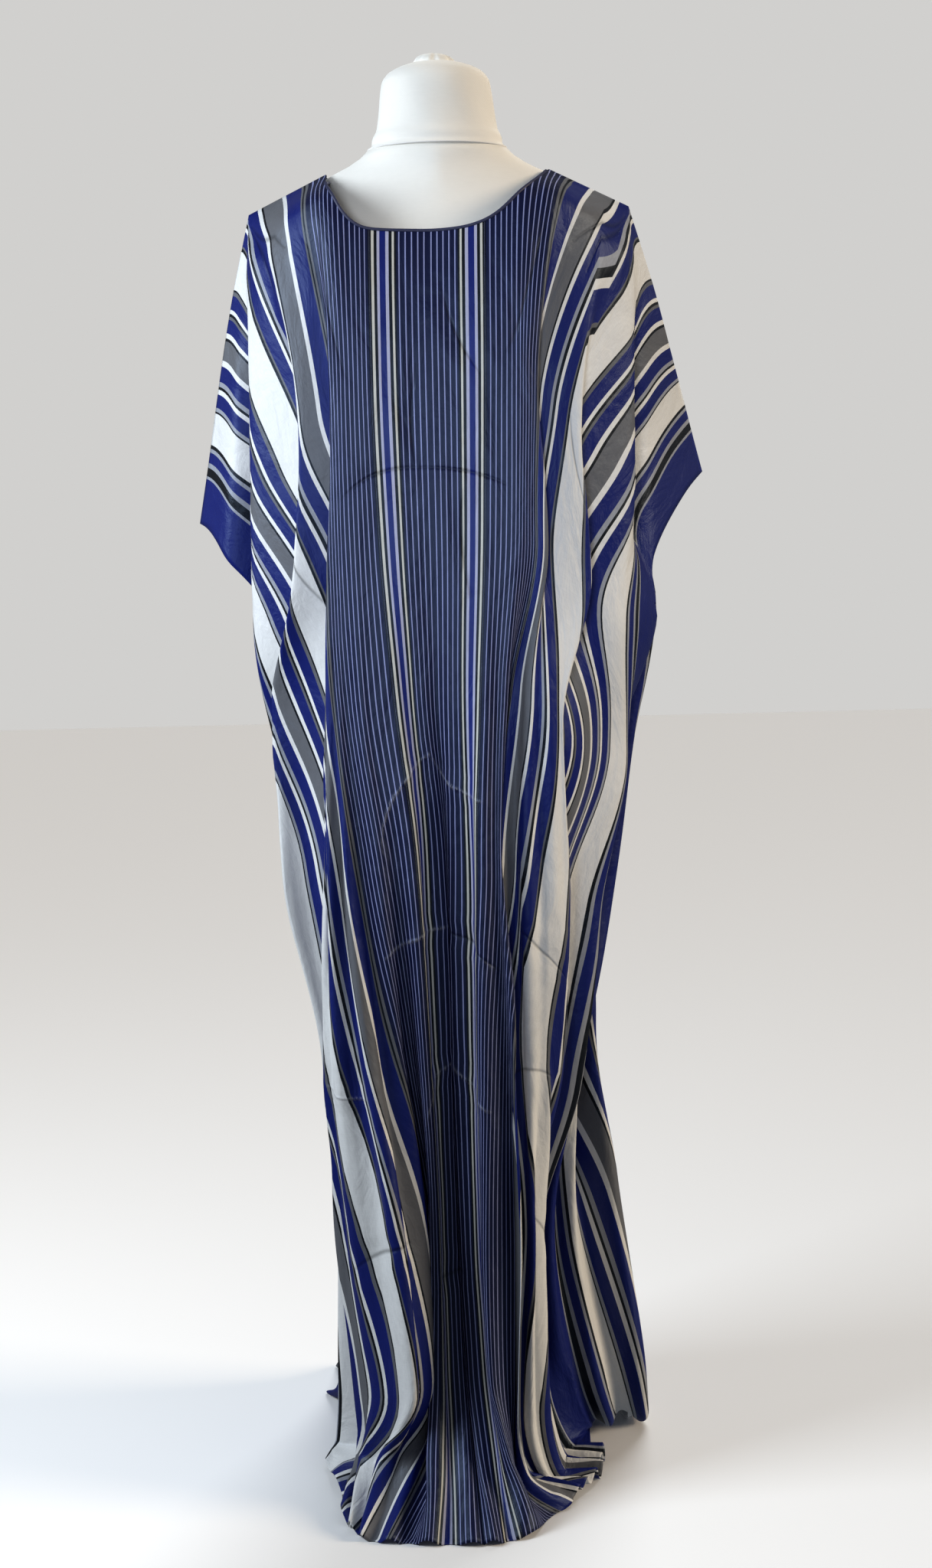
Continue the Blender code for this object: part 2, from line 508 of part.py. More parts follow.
def seam_directions(front, back):
    """Directions across the side seams and the sleeve tops, a list a side, by row."""
    sides = []
    for side, edge, inner in ((0, 0, 1), (1, -1, -2)):
        seam = {}
        for row in range(ROWS_TO_CUFF, len(front[0])):
            before = front[0][row - 1][edge][1:4]
            after = front[0][min(row + 1, len(front[0]) - 1)][edge][1:4]
            seam[row] = across_seam(front[0][row][inner][1:4], back[0][row][inner][1:4], after - before)
        top = {}
        for row in range(1, ROWS_TO_CUFF + 1):
            before = front[1][row - 1][side][-1][1:4]
            after = front[1][min(row + 1, ROWS_TO_CUFF)][side][-1][1:4]
            top[row] = across_seam(front[1][row][side][-2][1:4], back[1][row][side][-2][1:4], after - before)
        sides.append((evened(seam), evened(top)))
    return sides


def evened(directions):
    """The same directions with each turned toward its neighbours', so that the seam doesn't twist."""
    for _ in range(4):
        before = dict(directions)
        for row in directions:
            total = sum(before.get(near, before[row]) for near in (row - 1, row, row + 1))
            directions[row] = total / np.linalg.norm(total)
    return directions


def wall_from_grid(name, body_rows, sleeve_rows, directions, side_sign, finish):
    """A closed wall of cloth around the panel's middle surface.

    The edges that meet the other panel are cut along the seam, half a seam gap short of it.
    """
    points = []
    cuts = {}
    shoulder = np.array((0.0, 1.0, 0.0))
    body_index = []
    for number, row in enumerate(body_rows):
        first = len(points)
        body_index.append(list(range(first, first + len(row))))
        points.extend(row[:, 1:4])
        if number == 0:
            for column, point in enumerate(row):
                if abs(point[0]) >= NECK_CORNER - 1e-6:
                    cuts[first + column] = shoulder
        elif number >= ROWS_TO_CUFF:
            cuts[first] = directions[0][0][number]
            cuts[first + len(row) - 1] = directions[1][0][number]
    arm_index = ([], [])
    for number, arms in enumerate(sleeve_rows):
        for side, arm in enumerate(arms):
            first = len(points)
            arm_index[side].append(list(range(first, first + len(arm))))
            points.extend(arm[:, 1:4])
            if number == 0:
                cuts.update({index: shoulder for index in arm_index[side][-1]})
            else:
                cuts[first + len(arm) - 1] = directions[side][1][number]
    quads = []
    for above, below in zip(body_index, body_index[1:]):
        for i in range(len(above) - 1):
            quads.append((above[i], above[i + 1], below[i + 1], below[i]))
    for side, rows in enumerate(arm_index):
        edge = 0 if side == 0 else -1
        for r in range(len(rows) - 1):
            above = [body_index[r][edge], *rows[r]]
            below = [body_index[r + 1][edge], *rows[r + 1]]
            for i in range(len(above) - 1):
                quad = (above[i], above[i + 1], below[i + 1], below[i])
                quads.append(quad if side == 1 else quad[::-1])
    corner_rows = (body_index[ROWS_TO_CUFF], body_index[ROWS_TO_CUFF - 1])
    underarms = {corner_rows[0][edge]: corner_rows[1][edge] for edge in (0, -1)}
    return wall(name, np.array(points), quads, cuts, underarms, side_sign, finish)


def merged(points, quads, cuts, underarms):
    """The same sheet with points at one place made one, and faces that close up left out."""
    keys = {}
    kept = []
    to = []
    for place in points:
        key = tuple(np.round(place, 5))
        if key not in keys:
            keys[key] = len(kept)
            kept.append(place)
        to.append(keys[key])
    faces = []
    for quad in quads:
        ring = []
        for index in quad:
            if to[index] not in ring:
                ring.append(to[index])
        if len(ring) > 2:
            faces.append(ring)
    kept_cuts = {to[index]: direction for index, direction in cuts.items()}
    kept_underarms = {to[index]: to[above] for index, above in underarms.items()}
    return np.array(kept), faces, kept_cuts, kept_underarms


def wall(name, points, quads, cuts, underarms, side_sign, finish):
    """A closed body: the sheet moved half a wall to each side, joined round its edge."""
    points, faces, cuts, underarms = merged(points, quads, cuts, underarms)
    normals = np.zeros_like(points)
    turns = []
    for face in faces:
        corners = points[face]
        turn = np.zeros(3)
        for i in range(1, len(face) - 1):
            turn += np.cross(corners[i] - corners[0], corners[i + 1] - corners[0])
        turns.append(turn / max(np.linalg.norm(turn), 1e-12))
        for index in face:
            normals[index] += turns[-1]
    normals /= np.maximum(np.linalg.norm(normals, axis=1), 1e-9)[:, None]
    facing = np.zeros((len(points), 2))
    for face, turn in zip(faces, turns):
        for index in face:
            facing[index] += (normals[index] @ turn, 1)
    reach = np.minimum(facing[:, 1] / np.maximum(facing[:, 0], 1e-6), FOLD_MITRE)
    halves = normals * (CLOTH / 2 * reach)[:, None]
    offsets = np.zeros_like(points)
    for index, direction in cuts.items():
        if index in underarms:
            # Where the cuff opens, the fold between body and sleeve stands clear of the seam's plane.
            halves[index] = halves[underarms[index]]
            clear = SEAM_GAP / 2 + abs(halves[index] @ direction)
            offsets[index] = direction * side_sign * clear
            continue
        # A mitred edge: the wall's two faces end on the seam's plane.
        level = normals[index] - direction * (normals[index] @ direction)
        halves[index] = level / max(np.linalg.norm(level), 0.1) * CLOTH / 2 * SEAM_MITRE
        offsets[index] = direction * side_sign * SEAM_GAP / 2
    over = points + offsets + halves
    under = points + offsets - halves
    count = len(points)
    sides = [tuple(face) for face in faces]
    sides += [tuple(index + count for index in reversed(face)) for face in faces]
    edges = {(a, b) for face in faces for a, b in zip(face, face[1:] + face[:1])}
    for a, b in sorted(edges):
        if (b, a) not in edges:
            sides.append((b, a, a + count, b + count))
    return add_object(name, np.vstack([over, under]), sides, finish)


def lofted(name, sections, finish, sides=TORSO_SIDES):
    """A closed body through level sections with their own front and back depths."""
    points = []
    for section in sections:
        for side in range(sides):
            across = math.cos(2 * math.pi * side / sides)
            depth = math.sin(2 * math.pi * side / sides)
            power = section.roundness
            out = (abs(across) ** power + abs(depth) ** power) ** (-1 / power)
            depth *= section.back if depth > 0 else section.front
            points.append((section.half_width * across * out, depth * out, section.height))
    faces = []
    for level in range(len(sections) - 1):
        for side in range(sides):
            after = (side + 1) % sides
            low = level * sides
            high = low + sides
            faces.append((low + side, low + after, high + after, high + side))
    faces.append(tuple(range(sides))[::-1])
    top = (len(sections) - 1) * sides
    faces.append(tuple(range(top, top + sides)))
    return add_object(name, points, faces, finish)


def filled_in(sections, levels):
    """Level sections with more in between, so that the outline is smooth."""
    heights = [section.height for section in sections]
    fine = np.interp(np.linspace(0, 1, levels), np.linspace(0, 1, len(heights)), heights)
    widths = smooth_line(heights, [section.half_width for section in sections], fine)
    fronts = smooth_line(heights, [section.front for section in sections], fine)
    backs = smooth_line(heights, [section.back for section in sections], fine)
    roundness = smooth_line(heights, [section.roundness for section in sections], fine)
    return [TorsoSection(*values) for values in zip(fine, widths, fronts, backs, roundness)]


def turned(name, profile, centre, finish, sides=32):
    """A round body: (radius, height) rows spun about an upright axis."""
    sections = [TorsoSection(height, radius, radius, radius) for radius, height in profile]
    made = lofted(name, sections, finish, sides)
    made.location = (centre[0], centre[1], 0)
    return made


def neck_path(front_rows, back_rows):
    """The middle line of the bound neck edge: round the opening, just off the edges of the panels."""
    edge = []
    inner = []
    for rows, order in ((front_rows, 1), (back_rows, -1)):
        columns = [index for index, point in enumerate(rows[0]) if abs(point[0]) <= NECK_CORNER + 1e-6]
        if order == -1:
            columns = columns[-2:0:-1]
        edge += [rows[0][column][1:4] for column in columns]
        inner += [rows[1][column][1:4] for column in columns]
    path = []
    for index, here in enumerate(edge):
        along = edge[(index + 1) % len(edge)] - edge[index - 1]
        along /= np.linalg.norm(along)
        away = here - inner[index]
        if abs(here[1]) < 1e-6:
            # At a corner the shoulder line runs straight on from the cloth.
            away = here - np.array((math.copysign(SHOULDER_TIP, here[0]), 0, SHOULDER_TIP_Z))
        away = away - along * (away @ along)
        path.append(here + away / np.linalg.norm(away) * (BINDING_RADIUS + BINDING_OFF))
    return path


def tube(name, path, radius, finish, sides=8):
    """A closed round cord along a closed path."""
    points = []
    count = len(path)
    for index, place in enumerate(path):
        along = path[(index + 1) % count] - path[index - 1]
        along /= np.linalg.norm(along)
        level = np.cross(along, (0, 0, 1.0))
        level /= np.linalg.norm(level)
        rising = np.cross(level, along)
        for side in range(sides):
            turn = 2 * math.pi * side / sides
            points.append(place + radius * (level * math.cos(turn) + rising * math.sin(turn)))
    faces = []
    for index in range(count):
        here = index * sides
        after = (index + 1) % count * sides
        for side in range(sides):
            beside = (side + 1) % sides
            faces.append((here + side, here + beside, after + beside, after + side))
    return add_object(name, points, faces, finish)


def build():
    """Builds every piece."""
    for old in list(bpy.data.objects):
        bpy.data.objects.remove(old)
    stripes = material("striped_cloth", (0.05, 0.07, 0.25), 0.45)
    dark_edge = material("neck_edge", (0.01, 0.012, 0.04), 0.55)
    cover = material("form_cover", (0.82, 0.80, 0.76), 0.85)
    cap = material("form_cap", (0.78, 0.76, 0.72), 0.8)
    metal = material("stand_metal", (0.55, 0.55, 0.55), 0.35, 1.0)
    board = material("base_board", (0.30, 0.20, 0.13), 0.5)

    front = panel_grid(FRONT_LEFT, FRONT_RIGHT, FRONT_CENTRE,
                       (SLEEVES["front_left"], SLEEVES["front_right"]), NECK_DROP_FRONT,
                       COLUMNS_PER_FOLD)
    back = panel_grid(BACK_LEFT, BACK_RIGHT, BACK_CENTRE,
                      (SLEEVES["back_left"], SLEEVES["back_right"]), NECK_DROP_BACK,
                      COLUMNS_PER_FOLD)
    join_sides(front, back)
    directions = seam_directions(front, back)
    wall_from_grid("dress_front", *front, directions, -1, stripes)
    wall_from_grid("dress_back", *back, directions, 1, stripes)
    tube("neck_binding", neck_path(front[0], back[0]), BINDING_RADIUS, dark_edge)

    lofted("form_torso", filled_in(TORSO, 29), cover)
    lofted("form_neck", filled_in(NECK, 17), cover)
    turned("form_cap", CAP_PROFILE, (0, 0), cap)
    turned("form_pole", POLE_PROFILE, (0, 0), metal, 24)
    turned("form_base", BASE_PROFILE, (0, 0), board, 48)


build()
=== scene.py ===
"""A baati dress on a limbless dress form: its looks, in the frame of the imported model.

Metres, +Z up, the dress faces -Y. Each panel of cloth is a thin shell on its solid's form: the same
fold lines, on a finer grid, with gathers and creases added along the cloth's own normals. The stripes
are woven along the cloth, so they follow its flat place, which is kept as its UV.
"""

import math
from collections import namedtuple

import bpy
import numpy as np
from mathutils import Matrix, Vector


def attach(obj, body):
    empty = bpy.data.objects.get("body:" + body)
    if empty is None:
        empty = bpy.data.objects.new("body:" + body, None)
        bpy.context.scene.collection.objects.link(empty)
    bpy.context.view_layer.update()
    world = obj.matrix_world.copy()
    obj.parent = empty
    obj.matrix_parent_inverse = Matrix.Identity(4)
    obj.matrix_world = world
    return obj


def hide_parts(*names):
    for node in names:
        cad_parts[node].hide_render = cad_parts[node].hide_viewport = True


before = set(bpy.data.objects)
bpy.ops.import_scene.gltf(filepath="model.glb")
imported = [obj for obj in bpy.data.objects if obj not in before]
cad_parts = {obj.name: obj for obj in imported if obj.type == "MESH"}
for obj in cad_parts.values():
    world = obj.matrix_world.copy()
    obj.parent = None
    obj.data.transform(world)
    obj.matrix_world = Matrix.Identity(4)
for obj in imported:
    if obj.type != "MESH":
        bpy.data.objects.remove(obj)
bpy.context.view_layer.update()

CM = 0.01

# Cut of the cloth
SHOULDER_TIP = 0.205        # from the centre line to the shoulder tip, along the cloth
CUFF_REACH = 0.342          # from the shoulder tip out to the selvage
SLEEVE_DEPTH = 0.302        # from the shoulder line down to the start of the side seam
SHEET_WIDTH = 2 * (SHOULDER_TIP + CUFF_REACH)
DRESS_LENGTH = 1.56         # from the shoulder line to the hem
NECK_CORNER = 0.118         # from the centre line to the end of the neck opening
NECK_DROP_FRONT = 0.150
NECK_DROP_BACK = 0.058
NECK_SCOOP = {-1: (6.0, 0.5), 1: (3.4, 0.55)}   # squareness and steepness of the scoop, left and right
NECK_CUT = 0.85             # share of its rectangle that the neck opening takes
WALL = 0.0008               # thickness of the cloth that shows
BINDING_RADIUS = 0.0018
PIPING_RADIUS = 0.0008
SEAM_GAP = 0.0003

# Where the cloth hangs from
NECK_CORNER_Z = 1.440
SHOULDER_TIP_Z = 1.398
NAPE_RISE = 0.25            # how much higher the cloth starts for each metre behind the shoulder line
UNDERARM_DROP = math.hypot(CUFF_REACH, SLEEVE_DEPTH)
UNDERARM_ANGLE = math.atan2(CUFF_REACH, SLEEVE_DEPTH)
FULL_RING = 0.30            # drop at which the rows below the neck opening are level rings
LEAST_FALL = 0.25           # the least that a fold line falls, as a share of the cloth along it

# Grid of a panel
ROWS_TO_CUFF = 60
ROWS_BELOW = 120
TOP_CROWDING = 1.15         # 1 for rows of one height, and more for finer ones at the shoulders
FLOOR_CROWDING = 0.25       # 0 for rows of one height, and more for finer ones at the floor
FINE_STEPS = 241            # along a fold line, to work out how far it falls
FOLD_SOFTNESS = 0.35        # 0 for facets that meet at a crease, 1 for a fully rounded ring
ROUNDING_PASSES = 4
GATHER_WIDTH = 0.075        # cloth that one small fold takes up
GATHER_RISE = 0.35          # drop over which the small folds grow to their full height
EDGE_COLUMNS = 6            # columns and rows over which creases fade out at a panel's edge
EDGE_ROWS = 8
TORSO_RINGS = 90
NECK_RINGS = 70
TUFT_RINGS = 16
PIPING_POINTS = 120
FORM_CLEARANCE = 0.0016     # from the form's cover to the middle of the cloth

# Drops below the shoulder line at which the fold lines are placed, in cm
STATIONS = (0, 10, 30, 46, 62, 80, 100, 120, 134, 144, 156)

# A fold line: the cloth's own distance from the centre line, then its place across and in depth at
# each station, and its height at the last three, where it meets the floor. All in cm.
Fold = namedtuple("Fold", "name flat across depth height")

# The side seams. Both panels share their flat places, and from the fourth station down all of them.
SEAM_FLAT = (20.5, 29.0, 45.9, 59.2, 56.7, 55.8, 55.4, 55.2, 55.1, 55.0, 55.0)
LEFT_SEAM_ACROSS = (-18.6, -17.2, -15.4, -12.2, -11.6, -12.0, -12.4, -13.4)
LEFT_SEAM_DEPTH = (1.4, 2.8, 3.4, 4.2, 5.0, 6.2, 7.8, 10.4)
RIGHT_SEAM_ACROSS = (23.2, 18.6, 16.8, 12.6, 7.2, 8.4, 11.0, 14.0)
RIGHT_SEAM_DEPTH = (1.6, 4.2, 3.6, 0.6, -0.6, -1.6, -2.4, -2.4)

FRONT_CENTRE = Fold("centre", (0,) * len(STATIONS),
    (0, -1.0, -1.3, -1.3, -1.4, -0.7, -0.7, -0.5, 0, 0.8, 1.6),
    (0, -9.4, -13.6, -13.9, -13.2, -11.2, -10.8, -11.0, -12.6, -17.0, -25.2), (14.5, 6.0, 0.2))

FRONT_LEFT = [Fold(*row) for row in (
    ("left panel crest", (5.5,) * len(STATIONS),
     (-5.5, -6.6, -6.8, -6.4, -5.3, -3.6, -2.9, -2.5, -2.4, -2.6, -3.2),
     (0, -9.9, -13.8, -14.1, -14.3, -14.4, -13.8, -13.4, -14.6, -18.6, -25.0), (14.5, 6.0, 0.2)),
    ("knee valley", (8.2, 8.0, 8.0, 8.2, 8.6, 9.6, 12.0, 14.5, 16.0, 15.0, 13.0),
     (-8.2, -8.8, -8.8, -8.8, -8.6, -7.0, -5.9, -4.2, -3.6, -5.0, -7.6),
     (0, -10.3, -13.9, -14.2, -14.4, -14.7, -13.4, -12.6, -12.4, -14.6, -24.4), (14.0, 5.0, 0.2)),
    ("knee crest", (10.8, 10.2, 10.2, 10.8, 12.2, 15.0, 17.5, 21.5, 24.4, 21.0, 18.5),
     (-10.8, -10.9, -10.4, -10.8, -11.2, -10.8, -8.8, -6.2, -5.0, -8.2, -11.0),
     (0, -10.5, -13.8, -14.1, -14.3, -14.7, -15.4, -17.4, -19.0, -16.2, -23.6), (14.0, 6.0, 0.2)),
    ("panel edge", (11.8, 12.2, 12.6, 14.2, 17.0, 23.8, 28.2, 34.8, 38.5, 36.0, 30.0),
     (-11.8, -12.3, -11.7, -12.4, -13.3, -14.0, -14.8, -14.4, -13.0, -12.4, -13.4),
     (0, -10.3, -13.4, -13.6, -13.8, -13.6, -12.8, -10.8, -8.4, -8.6, -19.6), (10.5, 3.2, 1.0)),
    ("panel valley", (13.4, 13.9, 14.0, 18.5, 22.8, 31.5, 37.0, 40.0, 42.5, 42.0, 38.0),
     (-13.4, -13.6, -10.7, -9.8, -8.9, -9.5, -9.4, -9.8, -9.8, -10.2, -14.2),
     (0, -10.0, -12.1, -11.0, -10.2, -8.0, -7.2, -6.2, -4.8, -4.6, -12.0), (7.5, 2.4, 1.0)),
    ("inner pleat crest", (17.0, 18.5, 19.5, 27.5, 38.0, 45.8, 44.5, 45.0, 46.5, 46.5, 46.0),
     (-17.0, -17.3, -15.3, -16.6, -19.6, -19.0, -15.6, -14.4, -15.0, -15.4, -16.4),
     (0, -8.2, -11.7, -11.2, -6.0, -5.5, -4.4, -3.2, -2.2, -1.8, -4.6), (7.0, 2.0, 1.0)),
    ("inner pleat valley", (19.8, 20.5, 22.7, 32.5, 44.0, 48.5, 48.0, 48.5, 49.5, 49.5, 49.5),
     (-19.8, -18.7, -13.3, -12.9, -16.2, -16.6, -12.8, -11.6, -11.6, -11.8, -12.6),
     (0, -7.0, -9.5, -8.4, -4.0, -3.0, -2.0, -0.8, 0.6, 1.4, 1.4), (7.0, 2.0, 1.0)),
    ("outer pleat crest", (20.5, 24.1, 34.3, 46.9, 50.5, 51.5, 51.5, 51.7, 52.0, 52.0, 52.0),
     (-20.5, -20.5, -21.3, -21.5, -19.3, -17.8, -14.8, -13.6, -14.0, -14.4, -15.4),
     (0, -5.0, -4.8, -4.2, -1.4, -0.4, 1.0, 2.0, 3.4, 4.6, 6.0), (7.0, 2.0, 1.0)),
    ("seam", SEAM_FLAT,
     (-20.5, -20.7, -17.4, *LEFT_SEAM_ACROSS),
     (0, -2.4, 0.6, *LEFT_SEAM_DEPTH), (7.0, 2.0, 1.0)),
)]

FRONT_RIGHT = [Fold(*row) for row in (
    ("right panel crest", (5.5,) * len(STATIONS),
     (5.5, 4.4, 4.0, 3.6, 2.9, 2.2, 1.9, 2.0, 2.6, 3.6, 5.2),
     (0, -9.9, -13.8, -14.1, -14.4, -14.6, -14.2, -14.2, -15.4, -19.0, -24.4), (14.5, 6.0, 0.2)),
    ("skirt fold crest", (9.5, 9.5, 9.5, 9.5, 9.5, 9.5, 14.0, 16.5, 17.0, 16.5, 15.5),
     (9.5, 8.2, 7.6, 7.2, 5.8, 5.1, 6.1, 6.4, 5.8, 6.4, 10.6),
     (0, -10.3, -13.9, -14.2, -14.4, -15.0, -15.4, -16.2, -17.0, -18.0, -17.0), (11.0, 5.0, 0.2)),
    ("skirt fold valley", (11.8, 11.9, 12.0, 13.5, 13.5, 13.2, 19.0, 19.0, 20.0, 19.5, 19.0),
     (11.8, 10.7, 8.9, 9.2, 6.3, 4.0, 4.0, 4.9, 4.6, 6.6, 11.8),
     (0, -10.3, -13.8, -13.9, -12.4, -12.4, -11.4, -13.0, -13.4, -13.8, -14.6), (10.0, 2.6, 1.0)),
    ("panel edge", (13.0, 13.8, 14.4, 19.0, 18.0, 21.0, 26.0, 23.0, 25.0, 24.5, 23.0),
     (12.9, 12.2, 10.0, 10.8, 8.0, 7.2, 7.4, 7.3, 6.4, 8.6, 12.8),
     (0, -10.2, -13.4, -13.6, -13.2, -12.9, -12.3, -14.0, -14.0, -13.6, -12.8), (9.0, 1.8, 1.2)),
    ("panel valley", (14.5, 15.5, 17.5, 22.0, 21.5, 25.0, 28.5, 25.0, 29.0, 29.0, 28.0),
     (14.3, 13.5, 9.3, 9.7, 10.0, 10.0, 9.4, 8.2, 8.3, 10.2, 13.8),
     (0, -9.9, -11.9, -11.8, -13.2, -12.0, -11.4, -13.2, -12.8, -12.0, -11.2), (9.0, 1.4, 1.0)),
    ("inner pleat crest", (18.0, 20.0, 27.0, 31.0, 25.5, 29.0, 31.5, 33.0, 36.0, 36.0, 35.0),
     (17.9, 17.2, 14.6, 15.6, 12.0, 12.5, 11.3, 7.2, 9.0, 10.8, 15.0),
     (0, -8.2, -11.2, -10.8, -12.5, -10.2, -9.8, -9.2, -8.6, -8.6, -9.0), (8.0, 1.4, 1.0)),
    ("inner pleat valley", (19.8, 21.2, 29.7, 36.5, 27.6, 35.5, 39.0, 40.0, 42.0, 42.0, 41.5),
     (19.8, 18.6, 12.9, 11.7, 11.0, 8.8, 8.2, 5.2, 7.0, 10.4, 14.8),
     (0, -7.2, -9.4, -8.2, -11.0, -6.4, -5.8, -5.8, -5.8, -6.4, -6.8), (7.5, 1.4, 1.0)),
    ("outer pleat crest", (20.5, 25.0, 40.2, 46.0, 45.5, 46.0, 48.0, 48.0, 49.0, 49.0, 49.0),
     (20.5, 20.5, 20.7, 18.8, 19.3, 14.6, 12.4, 7.8, 9.2, 12.2, 15.6),
     (0, -5.0, -4.8, -6.2, -0.8, -2.2, -2.8, -2.8, -3.6, -4.4, -4.6), (7.0, 1.2, 1.0)),
    ("seam", SEAM_FLAT,
     (20.5, 21.0, 18.6, *RIGHT_SEAM_ACROSS),
     (0, -2.5, 0.4, *RIGHT_SEAM_DEPTH), (6.5, 1.0, 1.0)),
)]

BACK_CENTRE = Fold("centre", (0,) * len(STATIONS),
    (0, -0.6, -0.8, -0.8, -0.6, -0.4, -0.2, 0, 0, 0, 0),
    (6.0, 10.7, 12.4, 12.8, 13.4, 13.4, 13.8, 14.8, 16.8, 20.0, 27.0), (14.0, 5.5, 0.2))

BACK_LEFT = [Fold(*row) for row in (
    ("spine valley", (6.5, 6.5, 7.5, 9.5, 11.5, 13.5, 15.0, 16.0, 16.5, 16.5, 16.5),
     (-6.5, -7.2, -6.8, -6.4, -6.4, -6.6, -6.8, -7.2, -7.6, -8.0, -8.6),
     (3.6, 9.7, 12.0, 11.8, 11.6, 11.0, 10.6, 11.2, 13.0, 16.6, 23.4), (13.5, 5.0, 0.2)),
    ("back pleat crest", (11.8, 12.4, 15.0, 20.0, 24.0, 28.0, 31.0, 33.0, 34.0, 34.0, 34.0),
     (-11.8, -12.5, -12.6, -13.0, -13.2, -12.8, -12.6, -13.0, -14.0, -15.2, -17.0),
     (0, 8.6, 12.4, 13.4, 14.4, 15.0, 15.6, 16.6, 18.6, 21.4, 26.0), (12.5, 4.5, 0.2)),
    ("back pleat valley", (17.0, 18.5, 21.0, 29.0, 34.5, 38.5, 40.5, 42.0, 43.0, 43.0, 43.0),
     (-17.0, -16.8, -13.4, -12.2, -11.6, -10.4, -9.4, -9.2, -9.6, -10.2, -11.4),
     (0, 6.6, 9.2, 8.8, 9.0, 9.0, 8.8, 9.6, 11.0, 13.4, 17.6), (10.5, 3.5, 0.2)),
    ("outer pleat crest", (20.5, 24.5, 34.0, 45.5, 48.5, 49.5, 49.5, 50.0, 50.5, 50.5, 50.5),
     (-20.5, -19.7, -17.4, -17.6, -17.8, -16.8, -14.6, -14.2, -15.0, -16.0, -17.6),
     (0, 5.8, 12.0, 9.8, 9.0, 8.8, 9.0, 9.4, 10.8, 13.2, 17.4), (8.0, 2.5, 0.2)),
    ("seam", SEAM_FLAT,
     (-20.5, -21.2, -18.2, *LEFT_SEAM_ACROSS),
     (0, 4.4, 6.6, *LEFT_SEAM_DEPTH), (7.0, 2.0, 1.0)),
)]

BACK_RIGHT = [Fold(*row) for row in (
    ("spine valley", (6.5, 6.5, 7.5, 8.5, 9.5, 11.0, 12.5, 14.0, 15.0, 15.0, 15.0),
     (6.5, 7.0, 6.6, 6.4, 6.4, 6.6, 6.8, 7.0, 7.4, 7.8, 8.4),
     (3.6, 9.7, 12.0, 11.8, 11.6, 11.0, 10.6, 11.2, 13.0, 16.6, 23.4), (13.5, 5.0, 0.2)),
    ("wing crest", (11.8, 12.6, 15.4, 19.0, 21.0, 23.5, 26.5, 33.0, 37.0, 38.5, 40.0),
     (11.8, 12.4, 13.4, 14.6, 15.0, 14.8, 14.0, 17.6, 20.4, 20.8, 19.0),
     (0, 8.5, 12.6, 12.4, 12.0, 11.0, 8.0, 6.4, 3.4, 6.2, 15.0), (8.5, 1.4, 0.8)),
    ("wing valley", (17.5, 18.5, 22.5, 30.0, 35.5, 39.0, 40.0, 43.5, 46.0, 46.5, 47.0),
     (17.5, 17.2, 13.8, 12.6, 12.4, 12.0, 12.4, 13.2, 16.0, 17.2, 15.8),
     (0, 6.6, 9.2, 9.0, 8.6, 7.4, 4.6, 2.8, 1.0, 4.0, 11.6), (7.5, 1.4, 0.8)),
    ("outer pleat crest", (20.5, 24.5, 34.0, 45.5, 48.5, 49.5, 49.0, 50.0, 51.0, 51.0, 51.2),
     (20.5, 19.8, 18.8, 20.6, 19.4, 17.4, 13.4, 10.4, 12.4, 14.4, 14.4),
     (0, 5.8, 11.4, 9.0, 8.6, 7.4, 2.6, 1.0, -0.2, 2.0, 6.8), (7.0, 1.3, 0.6)),
    ("seam", SEAM_FLAT,
     (20.5, 21.3, 19.2, *RIGHT_SEAM_ACROSS),
     (0, 4.4, 6.6, *RIGHT_SEAM_DEPTH), (6.5, 1.0, 1.0)),
)]

# A fold of a half sleeve: its direction from the shoulder tip, as an angle from straight down in the
# flat cloth, then its place across and in depth at the first stations, in cm, as on the right side
SleeveFold = namedtuple("SleeveFold", "angle across depth")

TOP_LEFT = SleeveFold(90, (20.5, 22.9, 26.8, 29.9), (0, 1.0, 4.6, 6.8))
TOP_RIGHT = SleeveFold(90, (20.5, 23.5, 28.6, 33.0), (0, 1.5, 13.0, 18.0))

# The two folds of the left half sleeve and of the right one, the upper one along its top
FRONT_SLEEVES = (
    (SleeveFold(66, (20.5, 21.7, 23.3, 25.2), (0, -0.9, -1.2, -1.0)), TOP_LEFT),
    (SleeveFold(66, (20.5, 21.8, 22.6, 24.2), (0, -1.2, 2.4, 2.2)), TOP_RIGHT),
)
BACK_SLEEVES = (
    (SleeveFold(66, (20.5, 22.2, 24.0, 25.8), (0, 2.8, 10.4, 14.0)), TOP_LEFT),
    (SleeveFold(66, (20.5, 22.0, 22.8, 22.8), (0, 3.4, 14.4, 15.0)), TOP_RIGHT),
)

# Level sections of the torso, the last value being the roundness of its plan: 2 is an ellipse, and
# less is a lens that is sharper at its two sides
TorsoSection = namedtuple("TorsoSection", "height half_width front back roundness", defaults=(2.0,))

TORSO = [TorsoSection(*row) for row in (
    (0.760, 0.140, 0.098, 0.098),
    (0.850, 0.150, 0.100, 0.104),
    (0.940, 0.134, 0.092, 0.094),
    (1.020, 0.120, 0.086, 0.086),
    (1.120, 0.132, 0.104, 0.092),
    (1.210, 0.146, 0.121, 0.098),
    (1.290, 0.158, 0.112, 0.100),
    (1.350, 0.176, 0.094, 0.098, 1.9),
    (1.378, 0.178, 0.079, 0.086, 1.7),
    (1.4058, 0.160, 0.070, 0.075, 1.5),
    (1.4278, 0.130, 0.064, 0.068, 1.4),
    (1.4399, 0.110, 0.061, 0.066, 1.4),
    (1.4507, 0.088, 0.060, 0.064, 1.6),
    (1.462, 0.075, 0.058, 0.062, 2.0),
)]

NECK_BOTTOM_Z = TORSO[-1].height + SEAM_GAP

